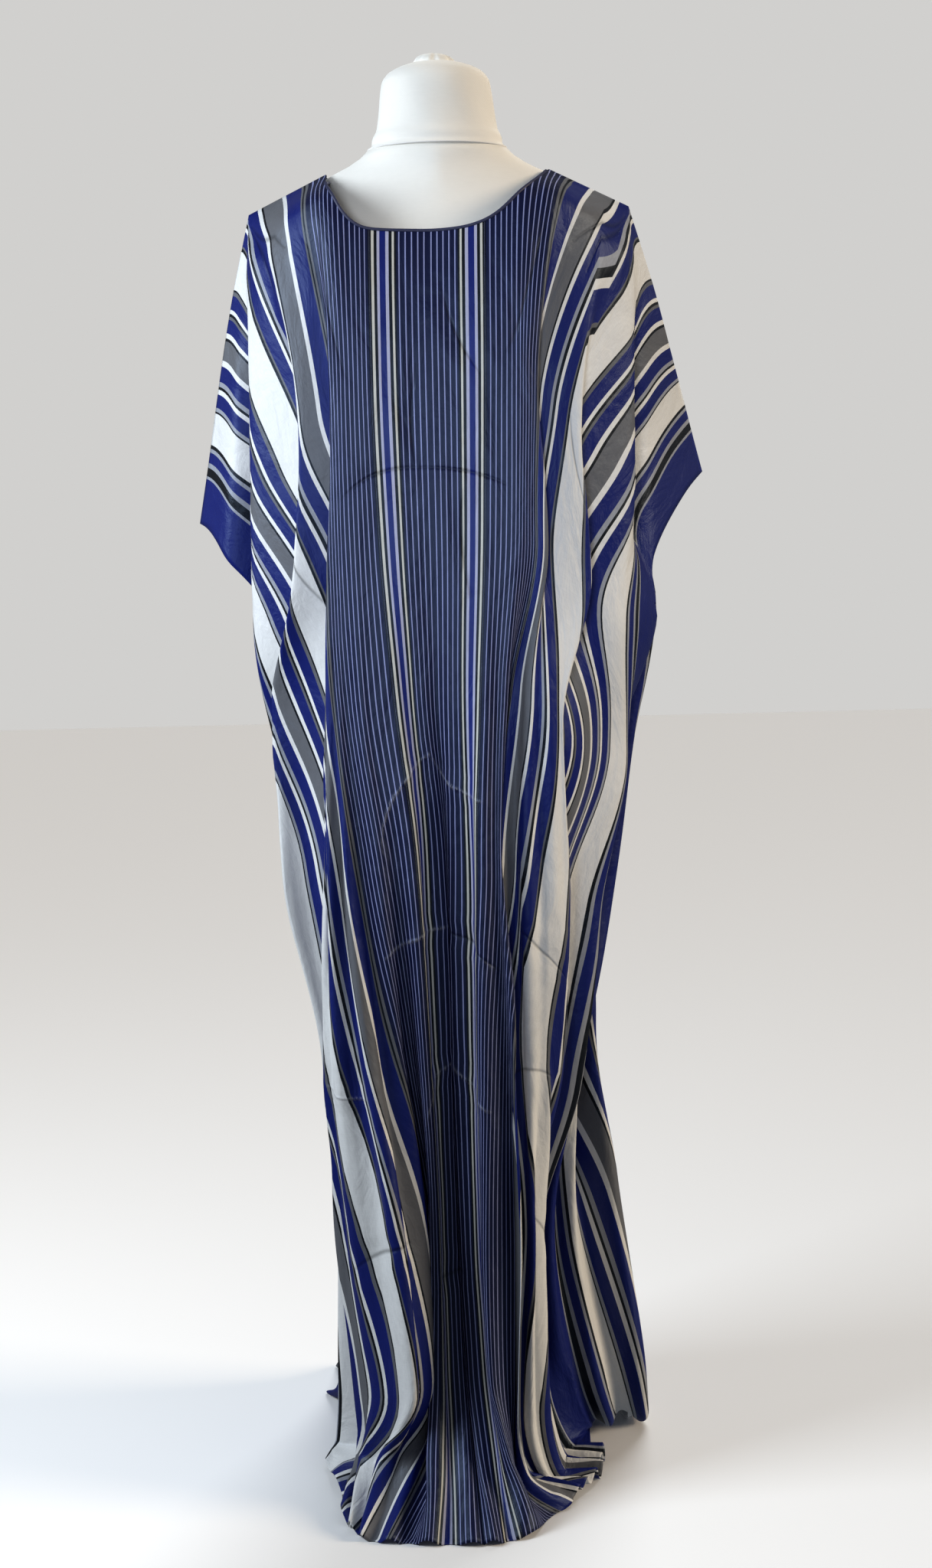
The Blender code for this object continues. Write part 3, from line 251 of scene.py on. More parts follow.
# Level sections of the neck block, from its base up: it flares at the base and is domed on top
NECK = [TorsoSection(*row) for row in (
    (NECK_BOTTOM_Z, 0.0745, 0.060, 0.062),
    (1.470, 0.0700, 0.058, 0.059),
    (1.482, 0.0655, 0.055, 0.056),
    (1.500, 0.0625, 0.053, 0.054),
    (1.520, 0.0600, 0.052, 0.053),
    (1.532, 0.0580, 0.050, 0.051),
    (1.541, 0.0520, 0.045, 0.046),
    (1.547, 0.0420, 0.037, 0.037),
    (1.551, 0.0300, 0.028, 0.028),
)]

NECK_TOP_Z = NECK[-1].height

# The tuft on top: radius and height of each step of its outline
CAP_PROFILE = [(radius, NECK_TOP_Z + rise) for radius, rise in (
    (0.0225, 0.0003), (0.0215, 0.0033), (0.0185, 0.0068), (0.0130, 0.0098), (0.0060, 0.0113))]

# Creases, by place on the flat cloth in cm from the centre line and the shoulder line: where each
# starts and ends, how far its middle bows to the left, its half width, and its depth in mm.
# A negative depth is a ridge.
Crease = namedtuple("Crease", "u0 v0 u1 v1 bow half_width depth")

FRONT_CREASES = [Crease(*row) for row in (
    (-10.5, 41.5, -1.0, 38.5, -0.9, 1.0, 1.8),
    (-1.0, 38.5, 8.5, 40.5, -0.5, 0.9, 1.4),
    (1.5, 21.0, 5.5, 29.0, 0.6, 0.9, 1.6),
    (13.0, 14.5, 8.5, 27.0, -0.8, 1.2, 1.6),
    (-13.0, 15.0, -9.5, 29.0, 0.8, 1.2, 1.4),
    (-1.2, 28.0, -1.6, 38.0, 0.5, 1.0, 1.2),
    (3.5, 41.0, 4.5, 52.0, 0.6, 1.1, 1.1),
    (-10.0, 78.0, -2.0, 68.5, -1.4, 0.9, -1.4),
    (-2.0, 68.5, 6.5, 73.5, 1.0, 0.9, -1.0),
    (-12.5, 90.0, -1.0, 87.2, -0.5, 0.9, -1.5),
    (-1.0, 87.2, 10.0, 92.0, -0.6, 0.9, 1.4),
    (-7.5, 108.5, 0.5, 101.5, -1.3, 0.9, -1.4),
    (0.5, 101.5, 9.0, 107.0, 0.8, 0.9, -1.0),
    (-6.5, 126.0, 1.5, 124.5, -0.5, 1.0, 1.2),
    (0.0, 112.0, 0.8, 124.0, 0.5, 1.1, 1.1),
    (-29.0, 104.0, -21.5, 105.5, 0.4, 0.9, -1.6),
    (-31.0, 123.0, -19.0, 121.0, -0.5, 0.9, 1.8),
    (-28.0, 66.0, -23.0, 69.0, 0.3, 0.8, 1.4),
    (-27.0, 42.0, -23.5, 52.0, 0.5, 0.8, 1.2),
    (22.0, 87.0, 30.0, 90.0, 0.4, 0.9, 1.6),
    (21.0, 104.5, 29.5, 102.0, -0.4, 0.9, 1.5),
    (24.0, 118.0, 32.0, 121.0, 0.5, 0.9, 1.3),
    (24.5, 30.0, 29.0, 38.0, 0.5, 0.8, 1.3),
    (-20.6, 2.0, -17.2, 13.0, 0.4, 0.9, 2.0),
    (-20.9, 2.5, -20.2, 15.0, -0.4, 0.8, 1.8),
    (-21.3, 2.0, -24.0, 12.0, 0.4, 0.9, 1.8),
    (20.6, 2.0, 17.5, 14.0, -0.4, 0.9, 2.0),
    (20.9, 2.5, 20.4, 16.0, 0.4, 0.8, 1.8),
    (21.3, 2.0, 24.5, 11.0, -0.4, 0.9, 1.8),
)]

BACK_CREASES = [Crease(*row) for row in (
    (-11.0, 34.0, 6.0, 36.0, 1.0, 1.1, 1.4),
    (-4.0, 58.0, 9.0, 55.0, -0.8, 1.0, 1.2),
    (-9.0, 74.0, 3.5, 80.0, 0.8, 1.0, 1.3),
    (-12.0, 98.0, 6.0, 95.0, -1.0, 1.1, 1.6),
    (-5.0, 117.0, 8.0, 122.0, 0.8, 1.0, 1.2),
    (12.0, 16.0, 7.0, 30.0, -0.8, 1.2, 1.4),
    (-12.0, 17.0, -8.0, 31.0, 0.8, 1.2, 1.2),
    (-30.0, 112.0, -20.0, 110.0, -0.5, 0.9, 1.6),
    (21.0, 92.0, 31.0, 95.0, 0.5, 0.9, 1.5),
    (-20.8, 2.0, -18.0, 13.0, 0.4, 0.9, 1.8),
    (20.8, 2.0, 18.2, 14.0, -0.4, 0.9, 1.8),
)]
CREASE_LINE = 0.20          # width of the pressed line in a crease, as a share of the crease's half width

# Stripes from the centre line outward, the same on both halves: where each ends in cm, and its yarn
STRIPES = (
    (3.10, "field"), (3.30, "black"), (3.54, "cream"), (3.88, "black"), (4.17, "lilac"),
    (4.85, "blue"), (5.20, "lilac"), (5.50, "black"), (5.80, "cream"), (6.05, "black"),
    (13.90, "field"),
    (14.20, "grey"), (14.50, "black"), (14.70, "grey"), (16.40, "blue"), (16.80, "white"),
    (18.80, "grey"), (19.00, "black"), (19.50, "white"), (21.00, "blue"), (21.40, "light grey"),
    (21.80, "black"), (22.30, "white"), (23.80, "blue"), (24.10, "grey"), (24.40, "black"),
    (28.60, "white"),
    (28.80, "black"), (29.22, "grey"), (30.66, "blue"), (31.14, "white"), (31.43, "black"),
    (31.80, "grey"), (33.25, "blue"), (33.83, "white"), (34.07, "black"), (36.30, "grey"),
    (36.85, "white"), (38.60, "blue"), (39.10, "light grey"), (39.50, "black"), (40.00, "white"),
    (41.50, "blue"), (41.90, "light grey"), (42.10, "black"), (45.70, "white"), (46.10, "black"),
    (46.50, "light grey"), (47.70, "blue"), (48.20, "light grey"), (49.20, "black"),
    (49.50, "light grey"), (56.00, "blue"),
)
RAMP_STRIPES = 27           # stripes in the first of the two colour ramps
PINSTRIPE_STEP = 0.62       # cm
PINSTRIPE_WIDTH = 0.12
PINSTRIPE_START = 0.31
PINSTRIPE_FIELDS = ((-1.0, 3.0), (6.0, 13.5))   # the two fields of plain ground
WARP_PITCH = 0.075
WEFT_PITCH = 0.085

YARNS = {
    "field": (0.0025, 0.0035, 0.028),
    "pinstripe": (0.24, 0.27, 0.50),
    "black": (0.002, 0.002, 0.003),
    "cream": (0.52, 0.52, 0.48),
    "white": (0.74, 0.75, 0.75),
    "grey": (0.118, 0.122, 0.135),
    "light grey": (0.30, 0.32, 0.37),
    "lilac": (0.37, 0.38, 0.53),
    "blue": (0.005, 0.010, 0.125),
}
RIDGE_HIGHLIGHT = (0.42, 0.43, 0.50, 1.0)   # painted highlight along a crease's ridge, in patches

CAMERA_PLACE = (0.015, -2.5, 1.08)
CAMERA_DOWN = 7.0           # degrees
CAMERA_ROLL = 1.35
CAMERA_LENS = 51.86         # mm, on a sensor 36 mm long
LIT_HEIGHT = 1.06           # height that the near lamps are aimed at
SPOT_ANGLE = 27             # degrees
EXPOSURE = 0.35
FLOOR_HALF = 9.0            # m, from the middle of the floor to its edges

# A panel: the solid it stands for, the side it faces, its cut and folds, the columns of its grid for
# each fold, a factor on the height of its small folds, where 1 takes up all the cloth there is, and the
# drop at which they begin
Plan = namedtuple("Plan", "name node facing neck_drop folds sleeves creases columns fullness begin")

# A panel's points, their places on the flat cloth, the quads between them and their normals
Sheet = namedtuple("Sheet", "places flat quads normals")

PLANS = (
    Plan("front_panel", "dress_front", -1, NECK_DROP_FRONT, (FRONT_CENTRE, FRONT_LEFT, FRONT_RIGHT),
         FRONT_SLEEVES, FRONT_CREASES, 12, 1.0, 0.50),
    Plan("back_panel", "dress_back", 1, NECK_DROP_BACK, (BACK_CENTRE, BACK_LEFT, BACK_RIGHT),
         BACK_SLEEVES, BACK_CREASES, 18, 1.15, 0.12),
)


def smooth_line(stations, values, at):
    """A curve through the stations that never overshoots them (Fritsch and Carlson)."""
    stations = np.asarray(stations, float)
    values = np.asarray(values, float)
    steps = np.diff(stations)
    slopes = np.diff(values) / steps
    tangents = np.zeros(len(values))
    tangents[0] = slopes[0]
    tangents[-1] = slopes[-1]
    for i in range(1, len(values) - 1):
        if slopes[i - 1] * slopes[i] > 0:
            before = 2 * steps[i] + steps[i - 1]
            after = steps[i] + 2 * steps[i - 1]
            tangents[i] = (before + after) / (before / slopes[i - 1] + after / slopes[i])
    at = np.clip(np.asarray(at, float), stations[0], stations[-1])
    k = np.clip(np.searchsorted(stations, at, side="right") - 1, 0, len(steps) - 1)
    t = (at - stations[k]) / steps[k]
    start = (1 + 2 * t) * (1 - t) ** 2 * values[k] + t * (1 - t) ** 2 * steps[k] * tangents[k]
    end = t * t * (3 - 2 * t) * values[k + 1] + t * t * (t - 1) * steps[k] * tangents[k + 1]
    return start + end


def shoulder_height(flat):
    """Height of the shoulder line over a place along it."""
    share = np.clip((flat - NECK_CORNER) / (SHOULDER_TIP - NECK_CORNER), 0, 1)
    return NECK_CORNER_Z + (SHOULDER_TIP_Z - NECK_CORNER_Z) * share


def hung_heights(drops, across, depth, start, fine):
    """Heights along a fold line that hangs from start, from the cloth's length along it."""
    places = smooth_line(drops, across, fine), smooth_line(drops, depth, fine)
    run = np.diff(fine)
    sideways = np.hypot(np.diff(places[0]), np.diff(places[1]))
    fall = np.sqrt(np.maximum(run ** 2 - sideways ** 2, (LEAST_FALL * run) ** 2))
    return start - np.concatenate([[0], np.cumsum(fall)])


class FoldLine:
    """One fold line down the dress: flat place, across, depth and height at any drops."""

    def __init__(self, fold):
        self.drops = np.array(STATIONS) * CM
        self.flat = np.array(fold.flat) * CM
        self.across = np.array(fold.across) * CM
        self.depth = np.array(fold.depth) * CM
        hung = len(STATIONS) - len(fold.height)
        fine = np.linspace(0, self.drops[hung - 1], FINE_STEPS)
        start = shoulder_height(self.flat[0]) + NAPE_RISE * self.depth[0]
        heights = hung_heights(self.drops, self.across, self.depth, start, fine)
        heights = np.interp(self.drops[:hung], fine, heights)
        self.height = np.concatenate([heights, np.array(fold.height) * CM])

    def at(self, drops):
        """Flat place, across, depth and height at each drop."""
        parts = (self.flat, self.across, self.depth, self.height)
        return np.stack([smooth_line(self.drops, part, drops) for part in parts], axis=-1)


class SleeveLine:
    """One fold of a half sleeve, straight out from the shoulder tip."""

    def __init__(self, fold, side):
        self.angle = math.radians(fold.angle)
        self.drops = np.array(STATIONS[:len(fold.across)]) * CM
        self.across = side * np.array(fold.across) * CM
        self.depth = np.array(fold.depth) * CM
        self.fine = np.linspace(0, self.drops[-1], FINE_STEPS)
        self.height = hung_heights(self.drops, self.across, self.depth, SHOULDER_TIP_Z, self.fine)

    def at(self, drops):
        """Flat place, across, depth and height at each drop."""
        across = smooth_line(self.drops, self.across, drops)
        depth = smooth_line(self.drops, self.depth, drops)
        height = np.interp(drops, self.fine, self.height)
        return np.stack([SHOULDER_TIP + drops * self.angle, across, depth, height], axis=-1)


def between(lines, place, drops):
    """Points between two of a row of fold lines, eased at each fold: place 1.5 is midway past line 1."""
    index = min(int(place), len(lines) - 2)
    t = place - index
    b = lines[index].at(drops)
    c = lines[index + 1].at(drops)
    a = lines[index - 1].at(drops) if index > 0 else 2 * b - c
    d = lines[index + 2].at(drops) if index + 2 < len(lines) else 2 * c - b
    facet = b + (c - b) * t
    eased = 0.5 * (2 * b + (c - a) * t + (2 * a - 5 * b + 4 * c - d) * t ** 2
                   + (3 * b - a - 3 * c + d) * t ** 3)
    points = facet + (eased - facet) * FOLD_SOFTNESS
    points[:, 0] = facet[:, 0]
    return points


def neck_drop(flat, side, deepest):
    """How far below the shoulder line the neck opening is cut: a scoop with a broad floor."""
    share = min(abs(flat) / NECK_CORNER, 1.0)
    squareness, steepness = NECK_SCOOP[side]
    return deepest * (1 - share ** squareness) ** steepness


def row_drops():
    """Drops of the grid's rows, finer at the shoulders and where the cloth meets the floor."""
    upper = UNDERARM_DROP * (np.arange(ROWS_TO_CUFF + 1) / ROWS_TO_CUFF) ** TOP_CROWDING
    share = np.arange(1, ROWS_BELOW + 1) / ROWS_BELOW
    share = share + FLOOR_CROWDING * share * (1 - share)
    return np.concatenate([upper, UNDERARM_DROP + (DRESS_LENGTH - UNDERARM_DROP) * share])


def flat_place(points, drops, side, gather):
    """Adds each point's place on the flat cloth, across and down, and the height of its gathers."""
    ring = points[:, 0]
    angle = np.maximum(ring - SHOULDER_TIP, 0) / np.maximum(drops, 1e-6)
    out = np.where(ring > SHOULDER_TIP, SHOULDER_TIP + drops * np.sin(angle), ring)
    down = drops * np.cos(angle)
    return np.column_stack([points[:, 1:4], side * out, down, gather])


def gathers(lines, place, drops, plan):
    """Height of the small folds that take up cloth between two fold lines closer than its length."""
    index = min(int(place), len(lines) - 2)
    b = lines[index].at(drops)
    c = lines[index + 1].at(drops)
    length = np.linalg.norm(c[:, 1:] - b[:, 1:], axis=1)
    cloth = c[:, 0] - b[:, 0]
    waves = max(1, round(float(cloth[len(cloth) // 2:].mean()) / GATHER_WIDTH))
    height = np.sqrt(length * np.maximum(cloth - length, 0)) / (math.pi * waves)
    height *= np.clip((drops - plan.begin) / GATHER_RISE, 0, 1)
    # Uneven down each fold, and not the same from one to the next
    height *= 0.82 + 0.18 * np.sin(9 * drops + 2.3 * index)
    return plan.fullness * height * math.sin(2 * math.pi * waves * (place - index))


def half_body(lines, side, plan):
    """Half of a panel's body, column by column from the centre line out to the seam."""
    rows = row_drops()
    top = [line.flat[0] for line in lines]
    columns = []
    for column in range((len(lines) - 1) * plan.columns + 1):
        place = column / plan.columns
        start = float(np.interp(place, range(len(top)), top))
        cut = neck_drop(start, side, plan.neck_drop)
        drops = np.where(rows < FULL_RING, cut + rows * (1 - cut / FULL_RING), rows)
        points = between(lines, place, drops)
        if start >= NECK_CORNER - 1e-6:
            points[0] = (start, side * start, 0, shoulder_height(start))
        columns.append(flat_place(points, drops, side, gathers(lines, place, drops, plan)))
    return np.stack(columns, axis=1)


def half_sleeve(seam_line, folds, side, per_fold):
    """Half a sleeve, column by column from the underarm line up to the fold at its top."""
    rows = row_drops()[:ROWS_TO_CUFF + 1]
    lines = [seam_line, *(SleeveLine(fold, side) for fold in folds)]
    angles = [UNDERARM_ANGLE] + [line.angle for line in lines[1:]]
    columns = []
    for step in range(1, per_fold * len(folds) + 1):
        place = step / per_fold
        angle = float(np.interp(place, range(len(angles)), angles))
        drops = rows / UNDERARM_DROP * CUFF_REACH / math.sin(angle)
        points = between(lines, place, drops)
        points[:, 0] = SHOULDER_TIP + drops * angle
        points[0] = (SHOULDER_TIP, side * SHOULDER_TIP, 0, SHOULDER_TIP_Z)
        columns.append(flat_place(points, drops, side, np.zeros(len(drops))))
    return np.stack(columns, axis=1)


def rounded(grid):
    """The grid with its folds rounded along each ring of cloth, its two edges kept."""
    for _ in range(ROUNDING_PASSES):
        near = (grid[:, :-2, :3] + grid[:, 2:, :3]) / 2
        grid[:, 1:-1, :3] += (near - grid[:, 1:-1, :3]) * 0.5
    return grid


class Panel:
    """A panel's grid of cloth points: rows with the sleeves down to the cuff, and the body below."""

    def __init__(self, plan):
        self.plan = plan
        centre, left, right = plan.folds
        halves = []
        arms = []
        for side, folds, sleeve in ((-1, left, plan.sleeves[0]), (1, right, plan.sleeves[1])):
            lines = [FoldLine(fold) for fold in (centre, *folds)]
            halves.append(half_body(lines, side, plan))
            arms.append(half_sleeve(lines[-1], sleeve, side, plan.columns))
        body = np.concatenate([halves[0][:, ::-1], halves[1][:, 1:]], axis=1)
        last = ROWS_TO_CUFF + 1
        self.arm_columns = arms[0].shape[1]
        self.upper = rounded(np.concatenate([arms[0][:, ::-1], body[:last], arms[1]], axis=1))
        self.lower = rounded(body[last:])

    def indices(self):
        """Numbers of the points of the upper and lower rows, with one number for a shoulder tip."""
        upper = np.arange(self.upper.shape[0] * self.upper.shape[1]).reshape(self.upper.shape[:2])
        upper[0, :self.arm_columns] = upper[0, self.arm_columns]
        upper[0, -self.arm_columns:] = upper[0, -self.arm_columns - 1]
        lower = upper.size + np.arange(self.lower.shape[0] * self.lower.shape[1])
        lower = lower.reshape(self.lower.shape[:2])
        cuff_row = upper[-1, self.arm_columns:-self.arm_columns]
        return upper, np.vstack([cuff_row, lower])

    def sheet(self):
        """All points with their flat places, and the quads between them."""
        points = np.vstack([self.upper.reshape(-1, 6), self.lower.reshape(-1, 6)])
        quads = []
        for block in self.indices():
            ring = np.stack([block[:-1, :-1], block[:-1, 1:], block[1:, 1:], block[1:, :-1]], axis=-1)
            quads.append(ring.reshape(-1, 4))
        return points, np.vstack(quads)

    def edge_mask(self):
        """0 at the panel's edges and 1 from a few grid steps in, for each point."""
        masks = []
        for block, top in ((self.upper, True), (self.lower, False)):
            rows, columns = block.shape[:2]
            across = np.minimum(np.arange(columns), np.arange(columns)[::-1]) / EDGE_COLUMNS
            down = np.arange(rows) / EDGE_ROWS if top else np.ones(rows)
            masks.append((np.clip(down, 0, 1)[:, None] * np.clip(across, 0, 1)[None, :]).ravel())
        return np.concatenate(masks)

    def shared_edges(self):
        """Numbers of the points that both panels have: sleeve tops, side seams and shoulder tips."""
        upper, lower = self.indices()
        tips = upper[0, [self.arm_columns, upper.shape[1] - 1 - self.arm_columns]]
        return upper[:, 0], upper[:, -1], lower[:, 0], lower[:, -1], tips

    def neck_row(self, places):
        """The points of the top row that lie on the neck opening."""
        row = places[self.indices()[0][0, self.arm_columns:-self.arm_columns]]
        return row[np.abs(row[:, 0]) < NECK_CORNER - 1e-4]


def vertex_normals(points, quads):
    """Unit normals of the sheet at each point."""
    turns = np.cross(points[quads[:, 2]] - points[quads[:, 0]], points[quads[:, 3]] - points[quads[:, 1]])
    normals = np.zeros_like(points)
    for corner in range(4):
        np.add.at(normals, quads[:, corner], turns)
    return normals / np.maximum(np.linalg.norm(normals, axis=1), 1e-12)[:, None]


def off_crease(crease, out, down, clipped):
    """A flat place's share along a crease, and how far in cm it lies beside it and past its ends."""
    run = (crease.u1 - crease.u0, crease.v1 - crease.v0)
    length = math.hypot(*run)
    across = out - crease.u0
    below = down - crease.v0
    along = across * (run[0] / length ** 2) + below * (run[1] / length ** 2)
    inside = clipped(along)
    beside = across * (run[1] / length) - below * (run[0] / length)
    return inside, beside + inside * (1.0 - inside) * (4 * crease.bow), (along - inside) * length


def crease_height(out, down, creases):
    """Height of the creases over the smooth cloth at each flat place, in metres."""
    height = np.zeros_like(out)
    for crease in creases:
        inside, beside, beyond = off_crease(crease, out / CM, down / CM, lambda share: np.clip(share, 0, 1))
        off = np.hypot(beside, beyond) / crease.half_width
        # A trough between two low lips, shallower toward both ends
        profile = np.exp(-off ** 2) - 0.4 * np.exp(-((off - 1.9) / 0.8) ** 2)
        height -= crease.depth / 1000 * np.sin(np.pi * (0.12 + 0.76 * inside)) * profile
    return height


def ripples(out, down):
    """Low, uneven flutes down the cloth and faint dents across it, in metres."""
    sway = 0.012 * np.sin(5.1 * down + 1.3) + 0.007 * np.sin(11.7 * down + 9.0 * out)
    flutes = np.sin((out + sway) * 118 + 1.7 * np.sin(3.3 * down))
    flutes *= 0.55 + 0.45 * np.sin(7.3 * down + 21 * out + 0.6)
    dents = np.sin(46 * down + 17 * out + 2.4 * np.sin(12 * out + 5 * down))
    dents *= 0.5 + 0.5 * np.sin(8.9 * down - 14 * out + 2.0)
    return 0.0007 * flutes * np.clip(down / 0.5, 0.2, 1.6) + 0.00035 * dents


def section_at(sections, heights):
    """A form's section at each height, its values eased between the listed ones."""
    stations, *values = zip(*sections)
    return TorsoSection(heights, *(smooth_line(stations, value, heights) for value in values))


def form_measure(points):
    """How far out each point is from the torso's cover, as a share of its section: 0 is on it."""
    level = section_at(TORSO, points[:, 2])
    depths = np.where(points[:, 1] > 0, level.back, level.front)
    power = level.roundness
    across = np.abs(points[:, 0] / level.half_width) ** power
    return (across + np.abs(points[:, 1] / depths) ** power) ** (1 / power) - 1


def clear_of_form(points):
    """The points with those inside or on the torso moved out to the cloth's clearance."""
    step = 1e-4
    for _ in range(3):
        inside = form_measure(points)
        slope = np.stack([(form_measure(points + move) - inside) / step for move in step * np.eye(3)], axis=1)
        steepness = np.maximum(np.linalg.norm(slope, axis=1), 1e-6)
        short = FORM_CLEARANCE - inside / steepness
        near = (short > 0) & (points[:, 2] > TORSO[0].height) & (points[:, 2] < TORSO[-1].height)
        points[near] += (slope / steepness[:, None])[near] * short[near, None]
    return points


def shaped(panel):
    """The panel's sheet of cloth, with its creases pressed in."""
    points, quads = panel.sheet()
    flat = points[:, 3:5]
    places = clear_of_form(points[:, :3].copy())
    normals = vertex_normals(places, quads)
    if normals[:, 1].mean() * panel.plan.facing < 0:
        quads = quads[:, ::-1]
        normals = -normals
    height = crease_height(*flat.T, panel.plan.creases) + ripples(*flat.T) + points[:, 5]
    places = clear_of_form(places + normals * (height * panel.edge_mask())[:, None])
    places[:, 2] = np.maximum(places[:, 2], WALL)
    return Sheet(places, flat, quads, vertex_normals(places, quads))


def join_panels(panels, sheets):
    """Brings the two panels' shared edges to one line with one normal, so that they meet."""
    for edges in zip(*(panel.shared_edges() for panel in panels)):
        both = list(zip(sheets, edges))
        place = sum(sheet.places[edge] for sheet, edge in both) / 2
        normal = sum(sheet.normals[edge] for sheet, edge in both) / 2
        normal /= np.maximum(np.linalg.norm(normal, axis=1), 0.3)[:, None]
        for sheet, edge in both:
            sheet.places[edge] = place
            sheet.normals[edge] = normal


def new_object(name, points, faces, made):
    """An object from points and faces, smooth, with one material."""
    mesh = bpy.data.meshes.new(name)
    mesh.from_pydata([tuple(point) for point in points], [], faces)
    mesh.update()
    mesh.materials.append(made)
    mesh.shade_smooth()
    thing = bpy.data.objects.new(name, mesh)
    bpy.context.scene.collection.objects.link(thing)
    return thing


def cloth_shell(name, sheet, made):
    """A closed thin wall round the sheet, with the flat place of every point as its UV."""
    over = sheet.places + sheet.normals * WALL / 2
    under = sheet.places - sheet.normals * WALL / 2
    count = len(over)
    faces = []
    edges = set()
    for quad in sheet.quads.tolist():
        ring = list(dict.fromkeys(quad))
        if len(ring) > 2:
            faces.append(tuple(ring))
            edges.update(zip(ring, ring[1:] + ring[:1]))
    sides = faces + [tuple(index + count for index in reversed(face)) for face in faces]
    sides += [(b, a, a + count, b + count) for a, b in sorted(edges) if (b, a) not in edges]
    used = np.zeros(2 * count, bool)
    used[[index for face in sides for index in face]] = True
    numbers = np.cumsum(used) - 1
    sides = [tuple(int(numbers[index]) for index in face) for face in sides]
    thing = new_object(name, np.vstack([over, under])[used], sides, made)
    uv = thing.data.uv_layers.new(name="flat_cloth")
    corners = np.zeros(len(thing.data.loops), int)
    thing.data.loops.foreach_get("vertex_index", corners)
    uv.data.foreach_set("uv", np.vstack([sheet.flat, sheet.flat])[used][corners].ravel())
    return thing


class Value:
    """A socket's value. Sums and products with it add math nodes to its tree."""

    def __init__(self, nodes, socket):
        self.nodes = nodes
        self.socket = socket

    def __add__(self, other):
        return self.nodes.math("ADD", self, other)

    def __sub__(self, other):
        return self.nodes.math("SUBTRACT", self, other)

    def __rsub__(self, other):
        return self.nodes.math("SUBTRACT", other, self)

    def __mul__(self, other):
        return self.nodes.math("MULTIPLY", self, other)

    def __truediv__(self, other):
        return self.nodes.math("DIVIDE", self, other)

    __radd__ = __add__
    __rmul__ = __mul__


class Nodes:
    """Adds nodes to a tree, their inputs set or linked by name or number."""

    def __init__(self, tree):
        self.tree = tree

    def put(self, node, inputs):
        for key, value in inputs.items():
            if isinstance(value, Value):
                self.tree.links.new(value.socket, node.inputs[key])
            else:
                node.inputs[key].default_value = value

    def add(self, kind, inputs, **settings):
        node = self.tree.nodes.new(kind)
        for key, value in settings.items():
            setattr(node, key, value)
        self.put(node, inputs)
        return node

    def value(self, kind, inputs, output=0, **settings):
        return Value(self, self.add(kind, inputs, **settings).outputs[output])

    def math(self, operation, first, second=0.0):
        return self.value("ShaderNodeMath", {0: first, 1: second}, operation=operation)

    def clipped(self, value):
        return self.math("MAXIMUM", self.math("MINIMUM", value, 1.0), 0.0)

    def mix(self, share, first, second, blend="MIX"):
        return self.value("ShaderNodeMix", {0: share, 6: first, 7: second}, 2,
                          data_type="RGBA", blend_type=blend)

    def parts(self, vector):
        return [Value(self, socket) for socket in self.add("ShaderNodeSeparateXYZ", {0: vector}).outputs]

    def noise(self, place, stretch, detail=2.0, roughness=0.5, distortion=0.0):
        stretched = self.value("ShaderNodeMapping", {"Vector": place, "Scale": stretch})
        return self.value("ShaderNodeTexNoise", {"Vector": stretched, "Scale": 1.0, "Detail": detail,
                                                 "Roughness": roughness, "Distortion": distortion})

    def bump(self, height, strength, distance, **under):
        return self.value("ShaderNodeBump", {"Height": height, "Strength": strength,
                                             "Distance": distance, **under})


def finish_material(name):
    """A new node material, its nodes and its shader."""
    made = bpy.data.materials.new(name)
    made.use_nodes = True
    return made, Nodes(made.node_tree), made.node_tree.nodes["Principled BSDF"]


def stripe_ramp(nodes, place, stripes, begin):
    """One colour ramp over the stripes that follow a place, in cm from the centre line."""
    length = stripes[-1][0] - begin
    node = nodes.add("ShaderNodeValToRGB", {0: (place - begin) / length})
    ramp = node.color_ramp
    ramp.interpolation = "CONSTANT"
    ramp.elements.remove(ramp.elements[1])
    start = begin
    for number, (end, yarn) in enumerate(stripes):
        element = ramp.elements.new((start - begin) / length) if number else ramp.elements[0]
        element.color = (*YARNS[yarn], 1.0)
        start = end
    return Value(nodes, node.outputs[0])


def pressed_lines(nodes, out, down, creases):
    """1 on the thin pressed line of each crease and 0 away from it, by flat place in cm."""
    lines = 0.0
    for crease in creases:
        inside, beside, beyond = off_crease(crease, out, down, nodes.clipped)
        width = CREASE_LINE * crease.half_width
        line = nodes.math("POWER", math.e, (beside * beside + beyond * beyond) * (-1 / width ** 2))
        lines = lines + line * (0.35 + inside * (1.0 - inside) * 2.6)
    return lines


